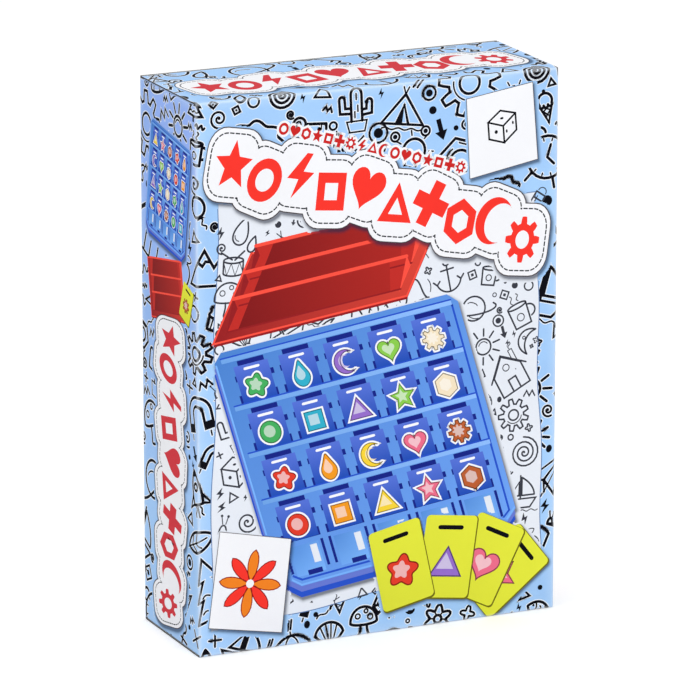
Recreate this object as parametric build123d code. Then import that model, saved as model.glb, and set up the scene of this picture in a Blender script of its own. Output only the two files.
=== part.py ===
"""Face guessing flip game: a tuck-end carton that holds two flip boards, back to back, and a deck of cards.

Millimetres. +Z is up, the front panel faces -Y, and the origin is on the floor under the carton's middle.
The carton is folded from one sheet of board, but every panel between two creases is a piece of its own, so
that the lids, tuck flaps and dust flaps can turn. Each flip board is a moulded stepped shell with four racks.
Five hinged doors lean on each rack, and each door is a moulded frame with a printed card pushed into it.
"""
from build123d import *
from math import cos, radians, sin, tan
import os

# Carton, outside sizes
CARTON_WIDTH = 185.0
CARTON_DEPTH = 66.0
CARTON_HEIGHT = 265.0
BOARD_THICK = 0.6            # folding boxboard
CREASE_RADIUS = 1.0          # outside rounding of a creased edge
SQUARE_FOLD = 90.0           # degrees between two panels at a plain crease
SEAM_SETBACK = 0.2           # back panel's raw edge stops short of the right side
GLUE_FLAP_WIDTH = 15.0
GLUE_FLAP_TAPER = 7.0        # the glue flap is this much shorter at each end of its free edge

# Lids, the same at the top and at the bottom
LID_SIDE_GAP = 0.3           # lid is narrower than the carton, each side
LID_BACK_GAP = 0.4           # lid's back crease to the inside of the back panel
TUCK_HEIGHT = 14.0
TUCK_INSET = 1.0             # tuck flap is narrower than its lid, each side
TUCK_LEAN = 10.0             # degrees that the tuck flap leans inwards when shut
TUCK_CORNER = 9.0
DUST_GAP = 0.15              # dust flap under its lid
DUST_REACH = 45.0
DUST_FRONT_START = 2.5       # from the front crease to the flap's front edge, at the side crease
DUST_FRONT_SLOPE = 0.8       # how far that edge runs back for each millimetre inwards
DUST_BACK_INSET = 4.0        # from the back crease to its back edge, at the side crease
DUST_TIP_INSET = 9.0         # the same at the flap's tip
DUST_CORNER = 4.0

# Flip board: U across, V from the player's edge to the far edge, N out of the face
SHELL_SIDE_PLAY = 3.9        # each side, to the inside of the carton
DECK_ROOM = 19.4             # from the boards up to the carton's top, where the deck lies
SHELL_WALL = 1.5
SHELL_CORNER = 14.0          # cut corners of the plan
APRON = 6.0                  # plain strip along the player's edge
REAR_FLANGE = 14.0           # plain strip behind the last rack
SIDE_STRIP = 3.6             # plain strip outside the end bearings
FLOOR_TOP = 3.0
RACK_SLOPE = 20.0            # degrees
CREST_WIDTH = 1.0
ROWS = 4
COLUMNS = 5

# Doors
DOOR_TIP_GAP = 1.4           # tip to the end of the floor, or of the rack, that the door lies on
DOOR_THICK = 2.0
DOOR_SEAT_GAP = 0.3          # door to the floor or rack that it lies on
DOOR_SHOULDER = 2.0          # the tip is narrower than the door, each side
DOOR_TIP_LENGTH = 6.5
PIN_RADIUS = 0.9             # to the corners of the pin's eight flats
PIN_SIDES = 8
PIN_LENGTH = 2.6
PIN_CLEARANCE = 0.2
DOOR_SIDE_GAP = 0.4          # door to the bearing beside it
CARD_SLOT_THICK = 0.7
CARD_RAIL = 2.5              # frame beside the slot
CARD_SLOT_START = 3.0        # from the pin axis
CARD_LIP = 1.2               # frame that overlaps the card, each side
CARD_WINDOW_START = 4.5
FACE_CARD_THICK = 0.4
FACE_CARD_GAP = 0.15         # card to the sides of its slot

# Bearings and openings of the board
BEARING_LENGTH = 4.4
BEARING_WIDTH = 6.7          # shared by two doors
BEARING_END_WIDTH = 4.0
BEARING_RISE = 1.7           # above the pin axis
SOCKET_SNAP = 0.2            # the mouth is narrower than the pin, so that the door snaps in
FLOOR_SLOT_WIDTH = 3.2
FLOOR_SLOT_INSET = 2.4       # from the door's side to the slot's middle
FLOOR_SLOT_BACK = 5.0        # from the pin axis to the slot
FLOOR_SLOT_FRONT = 7.0       # from the slot to the front of the floor
FINGER_SLOT_WIDTH = 11.0
FINGER_SLOT_LENGTH = 3.6
WINDOW_SIDE = 4.0            # from the door's side to the window
WINDOW_START = 5.0           # from the pin axis
WINDOW_END = 9.0             # from the window to the rack's end
CREST_NOTCH_WIDTH = 12.0
CREST_NOTCH_LENGTH = 5.0
CREST_NOTCH_DEPTH = 4.0

# Cards of the deck
DECK_COUNT = 20
DECK_CARD = (60.0, 40.0, 0.34)
DECK_CARD_PITCH = 0.36
DECK_CARD_CORNER = 2.0

# How the contents lie in the carton
BOARD_BACK_GAP = 0.3         # between the two boards' undersides
BOARD_REST_GAP = 0.25        # boards to the bottom dust flaps
DECK_REST_GAP = 0.3          # deck to the boards

# Sizes that follow: the boards fill the carton, the doors' cells fill the boards
SIDE_TOP = CARTON_HEIGHT - BOARD_THICK - DUST_GAP
SIDE_BOTTOM = BOARD_THICK + DUST_GAP
LID_LENGTH = CARTON_DEPTH - BOARD_THICK - LID_BACK_GAP
LID_WIDTH = CARTON_WIDTH - 2 * LID_SIDE_GAP
TUCK_FOLD = SQUARE_FOLD - TUCK_LEAN
BOARDS_TOP = CARTON_HEIGHT - DECK_ROOM
SHELL_LENGTH = BOARDS_TOP - (SIDE_BOTTOM + BOARD_THICK + BOARD_REST_GAP)
SHELL_WIDTH = CARTON_WIDTH - 2 * (BOARD_THICK + SHELL_SIDE_PLAY)
ROW_PITCH = (SHELL_LENGTH - APRON - REAR_FLANGE) / ROWS
FLOOR_LENGTH = ROW_PITCH / 2                # where a tipped door lies
RACK_LENGTH = ROW_PITCH - FLOOR_LENGTH      # what an upright door leans on
COLUMN_PITCH = (SHELL_WIDTH - 2 * (SIDE_STRIP + BEARING_END_WIDTH) + BEARING_WIDTH) / COLUMNS
DOOR_WIDTH = COLUMN_PITCH - BEARING_WIDTH - 2 * DOOR_SIDE_GAP
DOOR_LENGTH = FLOOR_LENGTH - DOOR_TIP_GAP   # pin axis to tip
CARD_SLOT_WIDTH = DOOR_WIDTH - 2 * CARD_RAIL
PIN_HEIGHT = FLOOR_TOP + DOOR_THICK / 2 + DOOR_SEAT_GAP
SOCKET_RADIUS = PIN_RADIUS + PIN_CLEARANCE
MID_HEIGHT = Plane.XY.offset(CARTON_HEIGHT / 2)
THROUGH = 1.0                # how far a cutting tool runs past the skin that it cuts


def row_pin(row):
    """V of a row's pin axis."""
    return APRON + FLOOR_LENGTH + row * ROW_PITCH


def column_centre(column):
    """U of the middle of a column of doors."""
    return (column - (COLUMNS - 1) / 2) * COLUMN_PITCH


def rack_height(past_pin):
    """N of the rack's face at a distance along V past the pin axis: a leaning door's back, less its gap."""
    back_offset = (DOOR_THICK / 2 + DOOR_SEAT_GAP) / cos(radians(RACK_SLOPE))
    return PIN_HEIGHT - back_offset + past_pin * tan(radians(RACK_SLOPE))


def strip_end(fold):
    """Tangent point, middle and end of the rounded arris, then the inner corner, for a strip that ends at 0.

    The strip's outer face is at height 0. With the fold's angle F, thickness T and crease radius R, the mitre
    halves F. So the inner corner lies T/tan(F/2) in, and the arris is an arc of R that touches the outer face.
    A raw end has no fold and is square.
    """
    if fold is None:
        return [(0, 0), (0, -BOARD_THICK)]
    half = radians(fold) / 2
    centre = Vector(CREASE_RADIUS / tan(half), -CREASE_RADIUS)
    middle_turn = radians(135) - half / 2
    middle = centre + Vector(cos(middle_turn), sin(middle_turn)) * CREASE_RADIUS
    nearest = centre - Vector(cos(half), -sin(half)) * CREASE_RADIUS
    inner_corner = (BOARD_THICK / tan(half), -BOARD_THICK)
    return [(centre.X, 0), (middle.X, middle.Y), (nearest.X, nearest.Y), inner_corner]


def strip_section(length, start_fold, end_fold):
    """Section through a strip of board: its outer face from 0 to length, with mitred or raw ends."""
    start = strip_end(start_fold)
    end = [(length - x, y) for x, y in strip_end(end_fold)]
    edges = [Line(start[0], end[0]), Line(end[-1], start[-1])]
    for points in (start, end):
        if len(points) == 2:
            edges.append(Line(*points))
        else:
            edges.append(ThreePointArc(*points[:3]))
            edges.append(Line(*points[2:]))
    return make_face(edges)


def board_plate(width, height, left=None, right=None, bottom=None, top=None):
    """Flat piece of carton board from the origin to (width, height), its outer face on Z = 0, facing up."""
    across = extrude(Plane.XZ * strip_section(width, left, right), -height)
    along = extrude(Plane.YZ * strip_section(height, bottom, top), width)
    return across & along


def outline_cut(plate, points, corner=0, corner_points=()):
    """The plate trimmed to a flat outline, with some of the outline's corners rounded."""
    outline = make_face(Polyline(*points, close=True))
    if corner_points:
        outline = fillet([outline.vertices().sort_by_distance(point)[0] for point in corner_points], corner)
    return plate & extrude(outline, BOARD_THICK, both=True)


def placed(shape, origin, x_dir, z_dir):
    """The shape moved from its own flat frame onto a plane of the carton."""
    return Plane(origin=origin, x_dir=x_dir, z_dir=z_dir).location * shape


# Carton walls: four panels and the glue flap of the side seam ----------------------------------------

def front_panel():
    """Front panel, creased to both sides and to both lids."""
    plate = board_plate(CARTON_WIDTH, CARTON_HEIGHT, *[SQUARE_FOLD] * 4)
    return placed(plate, (-CARTON_WIDTH / 2, -CARTON_DEPTH / 2, 0), (1, 0, 0), (0, -1, 0))


def left_panel():
    """Left side, which ends under the lids, where its dust flaps fold in."""
    plate = board_plate(CARTON_DEPTH, SIDE_TOP - SIDE_BOTTOM, *[SQUARE_FOLD] * 4)
    return placed(plate, (-CARTON_WIDTH / 2, CARTON_DEPTH / 2, SIDE_BOTTOM), (0, -1, 0), (-1, 0, 0))


def right_panel():
    """Right side, whose back crease turns in to the glue flap."""
    plate = board_plate(CARTON_DEPTH - BOARD_THICK, SIDE_TOP - SIDE_BOTTOM, *[SQUARE_FOLD] * 4)
    return placed(plate, (CARTON_WIDTH / 2, -CARTON_DEPTH / 2, SIDE_BOTTOM), (0, 1, 0), (1, 0, 0))


def back_panel():
    """Back panel, glued over the flap: raw at the seam, at the top and at the bottom."""
    plate = board_plate(CARTON_WIDTH - SEAM_SETBACK, CARTON_HEIGHT, right=SQUARE_FOLD)
    return placed(plate, (CARTON_WIDTH / 2 - SEAM_SETBACK, CARTON_DEPTH / 2, 0), (-1, 0, 0), (0, 1, 0))


def glue_flap():
    """Flap of the right side, glued to the inside of the back panel, with angled ends."""
    height = SIDE_TOP - SIDE_BOTTOM
    plate = board_plate(GLUE_FLAP_WIDTH, height, left=SQUARE_FOLD)
    points = [(0, GLUE_FLAP_TAPER / 2), (GLUE_FLAP_WIDTH, GLUE_FLAP_TAPER),
              (GLUE_FLAP_WIDTH, height - GLUE_FLAP_TAPER), (0, height - GLUE_FLAP_TAPER / 2)]
    corner = (CARTON_WIDTH / 2, CARTON_DEPTH / 2 - BOARD_THICK, SIDE_BOTTOM)
    return placed(outline_cut(plate, points), corner, (-1, 0, 0), (0, 1, 0))


# Closures: lid, tuck flap and two dust flaps at each end ---------------------------------------------

def top_lid():
    """Lid hinged on the front panel's top crease. Its cut side edges lie over the side panels."""
    plate = board_plate(LID_WIDTH, LID_LENGTH, bottom=SQUARE_FOLD, top=TUCK_FOLD)
    return placed(plate, (-LID_WIDTH / 2, -CARTON_DEPTH / 2, CARTON_HEIGHT), (1, 0, 0), (0, 0, 1))


def top_tuck_flap():
    """Flap at the lid's back edge that tucks in behind the back panel, leaning inwards."""
    width = LID_WIDTH - 2 * TUCK_INSET
    plate = board_plate(width, TUCK_HEIGHT, bottom=TUCK_FOLD)
    points = [(0, 0), (width, 0), (width, TUCK_HEIGHT), (0, TUCK_HEIGHT)]
    flap = outline_cut(plate, points, TUCK_CORNER, points[2:])
    lean = radians(TUCK_LEAN)
    crease = (-width / 2, -CARTON_DEPTH / 2 + LID_LENGTH, CARTON_HEIGHT)
    return placed(flap, crease, (1, 0, 0), (0, cos(lean), -sin(lean)))


def top_dust_flap_left():
    """Side flap under the lid. Its front edge is tapered, so that it follows the lid as it opens."""
    plate = board_plate(DUST_REACH, CARTON_DEPTH, left=SQUARE_FOLD)
    tip_front = DUST_FRONT_START + DUST_FRONT_SLOPE * DUST_REACH
    tip_back = CARTON_DEPTH - DUST_TIP_INSET
    tip = [(DUST_REACH, tip_front), (DUST_REACH, tip_back)]
    points = [(0, DUST_FRONT_START), *tip, (0, CARTON_DEPTH - DUST_BACK_INSET)]
    flap = outline_cut(plate, points, min(DUST_CORNER, (tip_back - tip_front) / 3), tip)
    return placed(flap, (-CARTON_WIDTH / 2, -CARTON_DEPTH / 2, SIDE_TOP), (1, 0, 0), (0, 0, 1))


def closures():
    """The eight turning pieces of the carton's two ends, by name."""
    left = top_dust_flap_left()
    top = {"lid": top_lid(), "tuck_flap": top_tuck_flap(), "dust_flap_left": left,
           "dust_flap_right": mirror(left, about=Plane.YZ)}
    pieces = {f"top_{name}": piece for name, piece in top.items()}
    pieces.update({f"bottom_{name}": mirror(piece, about=MID_HEIGHT) for name, piece in top.items()})
    return pieces


# Flip board: a stepped shell with bearings, floor slots and rack windows -------------------------------

def shell_prism(points, outline):
    """What a profile of (V, N) points shares with a plan outline, when each is run through the other."""
    profile = Plane.YZ * make_face(Polyline(*points, close=True))
    return extrude(profile, SHELL_WIDTH, both=True) & extrude(outline, CARTON_DEPTH, both=True)


def stepped_shell():
    """Open-backed shell: floors and racks in turn, with a rim all round."""
    outer, inner = [(0, 0), (0, FLOOR_TOP)], [(0, -THROUGH), (0, FLOOR_TOP - SHELL_WALL)]
    slope = radians(RACK_SLOPE)
    rack_foot = (FLOOR_TOP - rack_height(0)) / tan(slope)
    inner_foot = rack_foot + SHELL_WALL * (1 / cos(slope) - 1) / tan(slope)
    crest = rack_height(RACK_LENGTH - CREST_WIDTH)
    inner_end = RACK_LENGTH - SHELL_WALL
    for row in range(ROWS):
        pin = row_pin(row)
        outer += [(pin + rack_foot, FLOOR_TOP), (pin + RACK_LENGTH - CREST_WIDTH, crest),
                  (pin + RACK_LENGTH, crest), (pin + RACK_LENGTH, FLOOR_TOP)]
        inner += [(pin + inner_foot, FLOOR_TOP - SHELL_WALL),
                  (pin + inner_end, rack_height(inner_end) - SHELL_WALL / cos(slope)),
                  (pin + inner_end, FLOOR_TOP - SHELL_WALL)]
    outer += [(SHELL_LENGTH, FLOOR_TOP), (SHELL_LENGTH, 0)]
    inner += [(SHELL_LENGTH, FLOOR_TOP - SHELL_WALL), (SHELL_LENGTH, -THROUGH)]
    plan = Pos(0, SHELL_LENGTH / 2) * Rectangle(SHELL_WIDTH, SHELL_LENGTH)
    plan = chamfer(plan.vertices(), SHELL_CORNER)
    return shell_prism(outer, plan) - shell_prism(inner, offset(plan, -SHELL_WALL, kind=Kind.INTERSECTION))


def row_bearings(row):
    """Snap-in bearings of one row: one between each two doors and one at each end, on one socket line."""
    pin = row_pin(row)
    base = FLOOR_TOP - SHELL_WALL / 2
    rise = PIN_HEIGHT + BEARING_RISE - base
    end_centre = column_centre(COLUMNS - 1) + DOOR_WIDTH / 2 + DOOR_SIDE_GAP + BEARING_END_WIDTH / 2
    places = [(column_centre(column) + COLUMN_PITCH / 2, BEARING_WIDTH) for column in range(COLUMNS - 1)]
    places += [(-end_centre, BEARING_END_WIDTH), (end_centre, BEARING_END_WIDTH)]
    blocks = [Pos(u, pin, base + rise / 2) * Box(width, BEARING_LENGTH, rise) for u, width in places]
    throat = Pos(0, BEARING_RISE) * Rectangle(2 * PIN_RADIUS - SOCKET_SNAP, 2 * BEARING_RISE)
    socket = Pos(pin, PIN_HEIGHT) * (RegularPolygon(SOCKET_RADIUS, PIN_SIDES, major_radius=False) + throat)
    tool = extrude(Plane.YZ * socket, SHELL_WIDTH, both=True)
    return [block - tool for block in blocks]


def cell_cuts(row, column):
    """Openings of one door's cell: two floor slots, a finger slot, a rack window and a notch in the crest."""
    u, pin = column_centre(column), row_pin(row)
    deep = 2 * CARTON_DEPTH
    slot_offset = DOOR_WIDTH / 2 - FLOOR_SLOT_INSET
    slot_length = FLOOR_LENGTH - FLOOR_SLOT_BACK - FLOOR_SLOT_FRONT
    slot_v = pin - FLOOR_SLOT_BACK - slot_length / 2
    slot = Box(FLOOR_SLOT_WIDTH, slot_length, deep)
    slots = [Pos(u + side * slot_offset, slot_v) * slot for side in (-1, 1)]
    finger_v = pin - DOOR_LENGTH + FINGER_SLOT_LENGTH / 2
    finger = Pos(u, finger_v) * Box(FINGER_SLOT_WIDTH, FINGER_SLOT_LENGTH, deep)
    window_length = RACK_LENGTH - WINDOW_START - WINDOW_END
    window_v = pin + WINDOW_START + window_length / 2
    window = Pos(u, window_v) * Box(DOOR_WIDTH - 2 * WINDOW_SIDE, window_length, deep)
    notch_v = pin + RACK_LENGTH - CREST_NOTCH_LENGTH / 2 + THROUGH / 2
    notch_floor = rack_height(RACK_LENGTH - CREST_WIDTH) - CREST_NOTCH_DEPTH
    notch = Pos(u, notch_v, notch_floor) * Box(CREST_NOTCH_WIDTH, CREST_NOTCH_LENGTH + THROUGH, deep,
                                               align=(Align.CENTER, Align.CENTER, Align.MIN))
    return [*slots, finger, window, notch]


def flip_board():
    """One flip board in its own (U, V, N) frame, its underside on N = 0."""
    bearings = [block for row in range(ROWS) for block in row_bearings(row)]
    cuts = [cut for row in range(ROWS) for column in range(COLUMNS) for cut in cell_cuts(row, column)]
    return (stepped_shell() + bearings) - cuts


# Door: a moulded frame on two pins, and the printed card in its slot ----------------------------------

def door_frame():
    """Frame on its pin axis, which is X, along its hinge edge. It runs along +Y with its printed side up."""
    frame = Pos(0, DOOR_LENGTH / 2) * Box(DOOR_WIDTH, DOOR_LENGTH, DOOR_THICK)
    cut = Box(DOOR_SHOULDER, DOOR_TIP_LENGTH, DOOR_THICK)
    for side_x in (-1, 1):
        frame -= Pos(side_x * (DOOR_WIDTH - DOOR_SHOULDER) / 2, DOOR_LENGTH - DOOR_TIP_LENGTH / 2) * cut
    slot_length = DOOR_LENGTH - CARD_SLOT_START
    frame -= Pos(0, CARD_SLOT_START + slot_length / 2) * Box(CARD_SLOT_WIDTH, slot_length, CARD_SLOT_THICK)
    window_length = DOOR_LENGTH - CARD_WINDOW_START
    frame -= Pos(0, CARD_WINDOW_START + window_length / 2, DOOR_THICK / 4) * Box(
        CARD_SLOT_WIDTH - 2 * CARD_LIP, window_length, DOOR_THICK / 2)
    pins = extrude(Plane.YZ * RegularPolygon(PIN_RADIUS, PIN_SIDES), DOOR_WIDTH / 2 + PIN_LENGTH, both=True)
    return frame + pins


def face_card():
    """Printed card that is pushed into the frame from the tip, lying on the slot's floor."""
    width = CARD_SLOT_WIDTH - 2 * FACE_CARD_GAP
    length = DOOR_LENGTH - CARD_SLOT_START - 2 * FACE_CARD_GAP
    middle = CARD_SLOT_START + FACE_CARD_GAP + length / 2
    lift = (FACE_CARD_THICK - CARD_SLOT_THICK) / 2 + (CARD_SLOT_THICK - FACE_CARD_THICK) / 4
    return Pos(0, middle, lift) * Box(width, length, FACE_CARD_THICK)


def boards_and_doors():
    """Both boards and their doors in the carton: undersides together, player's edges up, doors hanging."""
    shell = flip_board()
    door = Compound([*door_frame().solids(), *face_card().solids()])
    leaning = Rot(RACK_SLOPE, 0, 0) * door
    facing = {"blue": ((-1, 0, 0), (0, -1, 0)), "red": ((1, 0, 0), (0, 1, 0))}
    pieces = {}
    for colour, (x_dir, z_dir) in facing.items():
        origin = Vector(*z_dir) * (BOARD_BACK_GAP / 2) + Vector(0, 0, BOARDS_TOP)
        stored = Plane(origin=origin, x_dir=x_dir, z_dir=z_dir).location
        pieces[f"{colour}_board"] = stored * shell
        for row in range(ROWS):
            for column in range(COLUMNS):
                pin = Pos(column_centre(column), row_pin(row), PIN_HEIGHT)
                pieces[f"{colour}_door_r{row + 1}c{column + 1}"] = stored * (pin * leaning)
    return pieces


def card_deck():
    """Loose cards in a flat stack on top of the boards."""
    width, depth, thick = DECK_CARD
    card = extrude(chamfer(Rectangle(width, depth).vertices(), DECK_CARD_CORNER), thick)
    base = BOARDS_TOP + DECK_REST_GAP
    return Compound([Pos(0, 0, base + number * DECK_CARD_PITCH) * card for number in range(DECK_COUNT)])


# Every piece, one file each ----------------------------------------------------------------------------

pieces = {
    "carton_front_panel": front_panel(),
    "carton_left_panel": left_panel(),
    "carton_right_panel": right_panel(),
    "carton_back_panel": back_panel(),
    "carton_glue_flap": glue_flap(),
    **closures(),
    **boards_and_doors(),
    "card_deck": card_deck(),
}

os.makedirs("parts", exist_ok=True)
for name, piece in pieces.items():
    export_step(piece, f"parts/{name}.step")
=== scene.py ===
"""Face guessing flip game in its printed tuck-end carton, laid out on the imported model's frame.

Metres throughout. The carton is one sheet of boxboard, so its walls, lids and flaps share one folding rule.
Everything printed on it is drawn on the flat blank first: S runs round the four walls from the front's left
crease, and T runs up from the bottom crease and on over the top lid. Ink is then cut at the creases and
folded with them.
"""
import math

import bmesh
import bpy
import numpy as np
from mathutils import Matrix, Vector
from mathutils.geometry import tessellate_polygon


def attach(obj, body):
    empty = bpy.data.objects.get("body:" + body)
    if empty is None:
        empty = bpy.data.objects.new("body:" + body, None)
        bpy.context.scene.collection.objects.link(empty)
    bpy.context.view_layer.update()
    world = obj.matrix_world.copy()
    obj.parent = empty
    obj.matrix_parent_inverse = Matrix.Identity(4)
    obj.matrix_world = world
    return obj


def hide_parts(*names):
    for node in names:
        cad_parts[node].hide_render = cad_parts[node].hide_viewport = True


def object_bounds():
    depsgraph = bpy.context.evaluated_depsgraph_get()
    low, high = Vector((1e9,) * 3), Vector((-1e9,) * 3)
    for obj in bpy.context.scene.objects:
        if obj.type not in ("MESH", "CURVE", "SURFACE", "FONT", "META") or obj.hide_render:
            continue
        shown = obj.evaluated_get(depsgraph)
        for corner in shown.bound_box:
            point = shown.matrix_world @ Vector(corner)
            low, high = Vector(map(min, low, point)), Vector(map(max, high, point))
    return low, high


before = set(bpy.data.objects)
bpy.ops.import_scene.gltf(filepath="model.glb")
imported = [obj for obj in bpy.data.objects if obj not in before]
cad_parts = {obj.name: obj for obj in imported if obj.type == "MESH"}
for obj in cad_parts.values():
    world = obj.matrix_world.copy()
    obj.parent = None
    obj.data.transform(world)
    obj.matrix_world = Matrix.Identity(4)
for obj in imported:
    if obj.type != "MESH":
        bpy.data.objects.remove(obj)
cad_low, cad_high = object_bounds()

# --- Carton board ---------------------------------------------------------------------------------
# Folding boxboard, 0.6 mm: white-lined chipboard, printed and gloss laminated outside, bare grey inside.
# The sheet is creased, folded round the contents and glued at one seam, so every arris is a small round.

MM = 0.001
SKIN_INSET = 0.1 * MM                      # printed face inside the outer size, so that ink stays within it
WALL_WIDTH = cad_high.x - cad_low.x - 2 * SKIN_INSET
WALL_DEPTH = cad_high.y - cad_low.y - 2 * SKIN_INSET
WALL_HEIGHT = cad_high.z - cad_low.z - 2 * SKIN_INSET
BOARD_THICK = 0.55 * MM
CREASE_RADIUS = 1.1 * MM
SQUARE_TURN = math.radians(90)
SIDE_DROP = 0.75 * MM                      # side panels end this far under the lids
SEAM_SETBACK = 0.3 * MM
GLUE_FLAP_WIDTH = 15.0 * MM
GLUE_TAPER = 7.0 * MM
ARRIS_REACH = 1.3                          # crease radii from a crease that are sampled finely
SAMPLE_STEP = 9 * MM
SHARP_FROM = math.radians(35)
X, Y, Z = np.eye(3)


def bend(distance, turn):
    """Along and inward offsets and angle of a path past a crease: straight, an arc of radius R, straight.

    distance is measured from the sharp crease. The arc spans R*tan(turn/2) to each side of it.
    """
    reach = CREASE_RADIUS * math.tan(turn / 2)
    angle = turn * np.clip((distance / reach + 1) / 2, 0, 1)
    along = np.where(distance < -reach, distance, -reach + CREASE_RADIUS * np.sin(angle))
    return along, CREASE_RADIUS * (1 - np.cos(angle)), angle


class Panel:
    """A flat piece of the blank from its corner along two edges, with what each crease round it turns."""

    def __init__(self, corner, across, up, size, left=0, right=0, bottom=0, top=0):
        self.corner, self.across, self.up = np.array(corner, float), across, up
        self.inward = -np.cross(across, up)
        self.size, self.turns = size, (left, right, bottom, top)

    def place(self, u, v, depth):
        """Points at blank distances (u, v) from the corner, that deep under the printed face.

        Each creased edge bends its half of the arris inwards, and depth is taken along the bent normal.
        """
        past_edges = (-u, u - self.size[0], -v, v - self.size[1])
        bends = [bend(distance, turn or 1e-6) for distance, turn in zip(past_edges, self.turns)]
        (near_u, far_u, near_v, far_v), inwards, angles = zip(*bends)
        x = np.where(u < self.size[0] / 2, -near_u, self.size[0] + far_u)
        y = np.where(v < self.size[1] / 2, -near_v, self.size[1] + far_v)
        left, right, bottom, top = np.sin(angles)
        tilt_u, tilt_v = left - right, bottom - top
        flat = np.sqrt(np.clip(1 - tilt_u**2 - tilt_v**2, 0.2, 1))
        sink = np.maximum.reduce(inwards) + depth * flat
        x, y = x + depth * tilt_u, y + depth * tilt_v
        return (self.corner + x[..., None] * self.across + y[..., None] * self.up
                + sink[..., None] * self.inward)


half_width, half_depth = WALL_WIDTH / 2, WALL_DEPTH / 2
low_z, high_z = cad_low.z + SKIN_INSET, cad_low.z + SKIN_INSET + WALL_HEIGHT
side_low, side_height = low_z + SIDE_DROP, WALL_HEIGHT - 2 * SIDE_DROP
all_creased = [SQUARE_TURN] * 4
panels = {
    "front": Panel((-half_width, -half_depth, low_z), X, Z, (WALL_WIDTH, WALL_HEIGHT), *all_creased),
    "left": Panel((-half_width, half_depth, side_low), -Y, Z, (WALL_DEPTH, side_height), *all_creased),
    "right": Panel((half_width, -half_depth, side_low), Y, Z, (WALL_DEPTH - BOARD_THICK, side_height),
                   *all_creased),
    "back": Panel((half_width - SEAM_SETBACK, half_depth, low_z), -X, Z,
                  (WALL_WIDTH - SEAM_SETBACK, WALL_HEIGHT), 0, SQUARE_TURN),
    "glue": Panel((half_width, half_depth - BOARD_THICK, side_low), -X, Z, (GLUE_FLAP_WIDTH, side_height),
                  SQUARE_TURN),
}


def spaced(length, fine_start, fine_end, step=SAMPLE_STEP):
    """Sample distances from 0 to length: even steps, with six more inside the arris at each creased end."""
    fine = np.linspace(0, ARRIS_REACH * CREASE_RADIUS, 7)
    start = fine if fine_start else np.array([0.0])
    end = length - fine[::-1] if fine_end else np.array([length])
    count = max(2, round((end[0] - start[-1]) / step) + 1)
    return np.concatenate([start[:-1], np.linspace(start[-1], end[0], count), end[1:]])


def link(piece, body, slot, *nodes):
    """Puts a finished piece in the scene: it rides on the body and stands for the nodes. The slot is not
    used.
    """
    bpy.context.scene.collection.objects.link(piece)
    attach(piece, body)
    if nodes:
        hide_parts(*nodes)
    return piece


def mesh_piece(name, points, faces, materials, face_slots):
    """A mesh object from arrays of points and faces, smooth but for its sharp edges."""
    mesh = bpy.data.meshes.new(name)
    mesh.from_pydata(points.reshape(-1, 3).tolist(), [], [list(face) for face in faces])
    for material in materials:
        mesh.materials.append(material)
    mesh.polygons.foreach_set("material_index", np.asarray(face_slots, np.int32))
    mesh.shade_smooth()
    mesh.set_sharp_from_angle(angle=SHARP_FROM)
    return bpy.data.objects.new(name, mesh)


def grid_faces(rows, columns, start=0, flip=False):
    """Quads of a rows x columns grid of points numbered row by row from start."""
    index = start + np.arange(rows * columns).reshape(rows, columns)
    corners = [index[:-1, :-1], index[:-1, 1:], index[1:, 1:], index[1:, :-1]]
    quads = np.stack([c.ravel() for c in corners], axis=1)
    return quads[:, ::-1] if flip else quads


def board_sheet(name, panel, u, v, body, node_name):
    """Closed sheet of board over the (u, v) grids: printed face, bare face a thickness under it, and cut rim.

    Both grids are u down the columns and v along the rows. The rim joins their outer rings point for point.
    """
    u, v = np.broadcast_arrays(u, v)
    rows, columns = u.shape
    points = np.stack([panel.place(u, v, depth) for depth in (0, BOARD_THICK)])
    count = rows * columns
    index = np.arange(count).reshape(rows, columns)
    ring = np.concatenate([index[0, :], index[1:, -1], index[-1, -2::-1], index[-2:0:-1, 0]])
    following = np.roll(ring, -1)
    rim = np.stack([following, ring, ring + count, following + count], axis=1)
    faces = [grid_faces(rows, columns), grid_faces(rows, columns, count, flip=True), rim]
    slots = np.repeat([0, 1, 2], [len(f) for f in faces])
    # The cut rim takes the near-black edge colour, which is painted shade.
    materials = [printed_ground, bare_board, shaded_cut_edge]
    piece = mesh_piece(name, points, np.concatenate(faces), materials, slots)
    return link(piece, body, "printed_board", node_name)


def node(tree, kind, sockets=None, **settings):
    """Adds a shader node with its settings, and fills or links the inputs named or numbered in sockets."""
    made = tree.nodes.new(kind)
    for key, value in settings.items():
        setattr(made, key, value)
    for key, value in (sockets or {}).items():
        if isinstance(value, bpy.types.NodeSocket):
            tree.links.new(value, made.inputs[key])
        else:
            made.inputs[key].default_value = value
    return made


def maths(tree, operation, *values, clamp=False):
    """Output of a Math node."""
    made = node(tree, "ShaderNodeMath", dict(enumerate(values)), operation=operation, use_clamp=clamp)
    return made.outputs[0]


def ranged(tree, value, start, end, low=0.0, high=1.0, course="LINEAR"):
    """Output of a Map Range node: low up to start, high from end on."""
    sockets = {"Value": value, "From Min": start, "From Max": end, "To Min": low, "To Max": high}
    return node(tree, "ShaderNodeMapRange", sockets, interpolation_type=course).outputs[0]


def blend_colour(tree, factor, first, second):
    """Output of a colour Mix node."""
    return node(tree, "ShaderNodeMix", {0: factor, 6: first, 7: second}, data_type="RGBA").outputs[2]


def darkened(tree, colour, share):
    """The colour times the share."""
    return node(tree, "ShaderNodeVectorMath", {0: colour, 3: share}, operation="SCALE").outputs[0]


def object_place(tree):
    """The point's Object coordinates."""
    return tree.nodes.new("ShaderNodeTexCoord").outputs["Object"]


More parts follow.
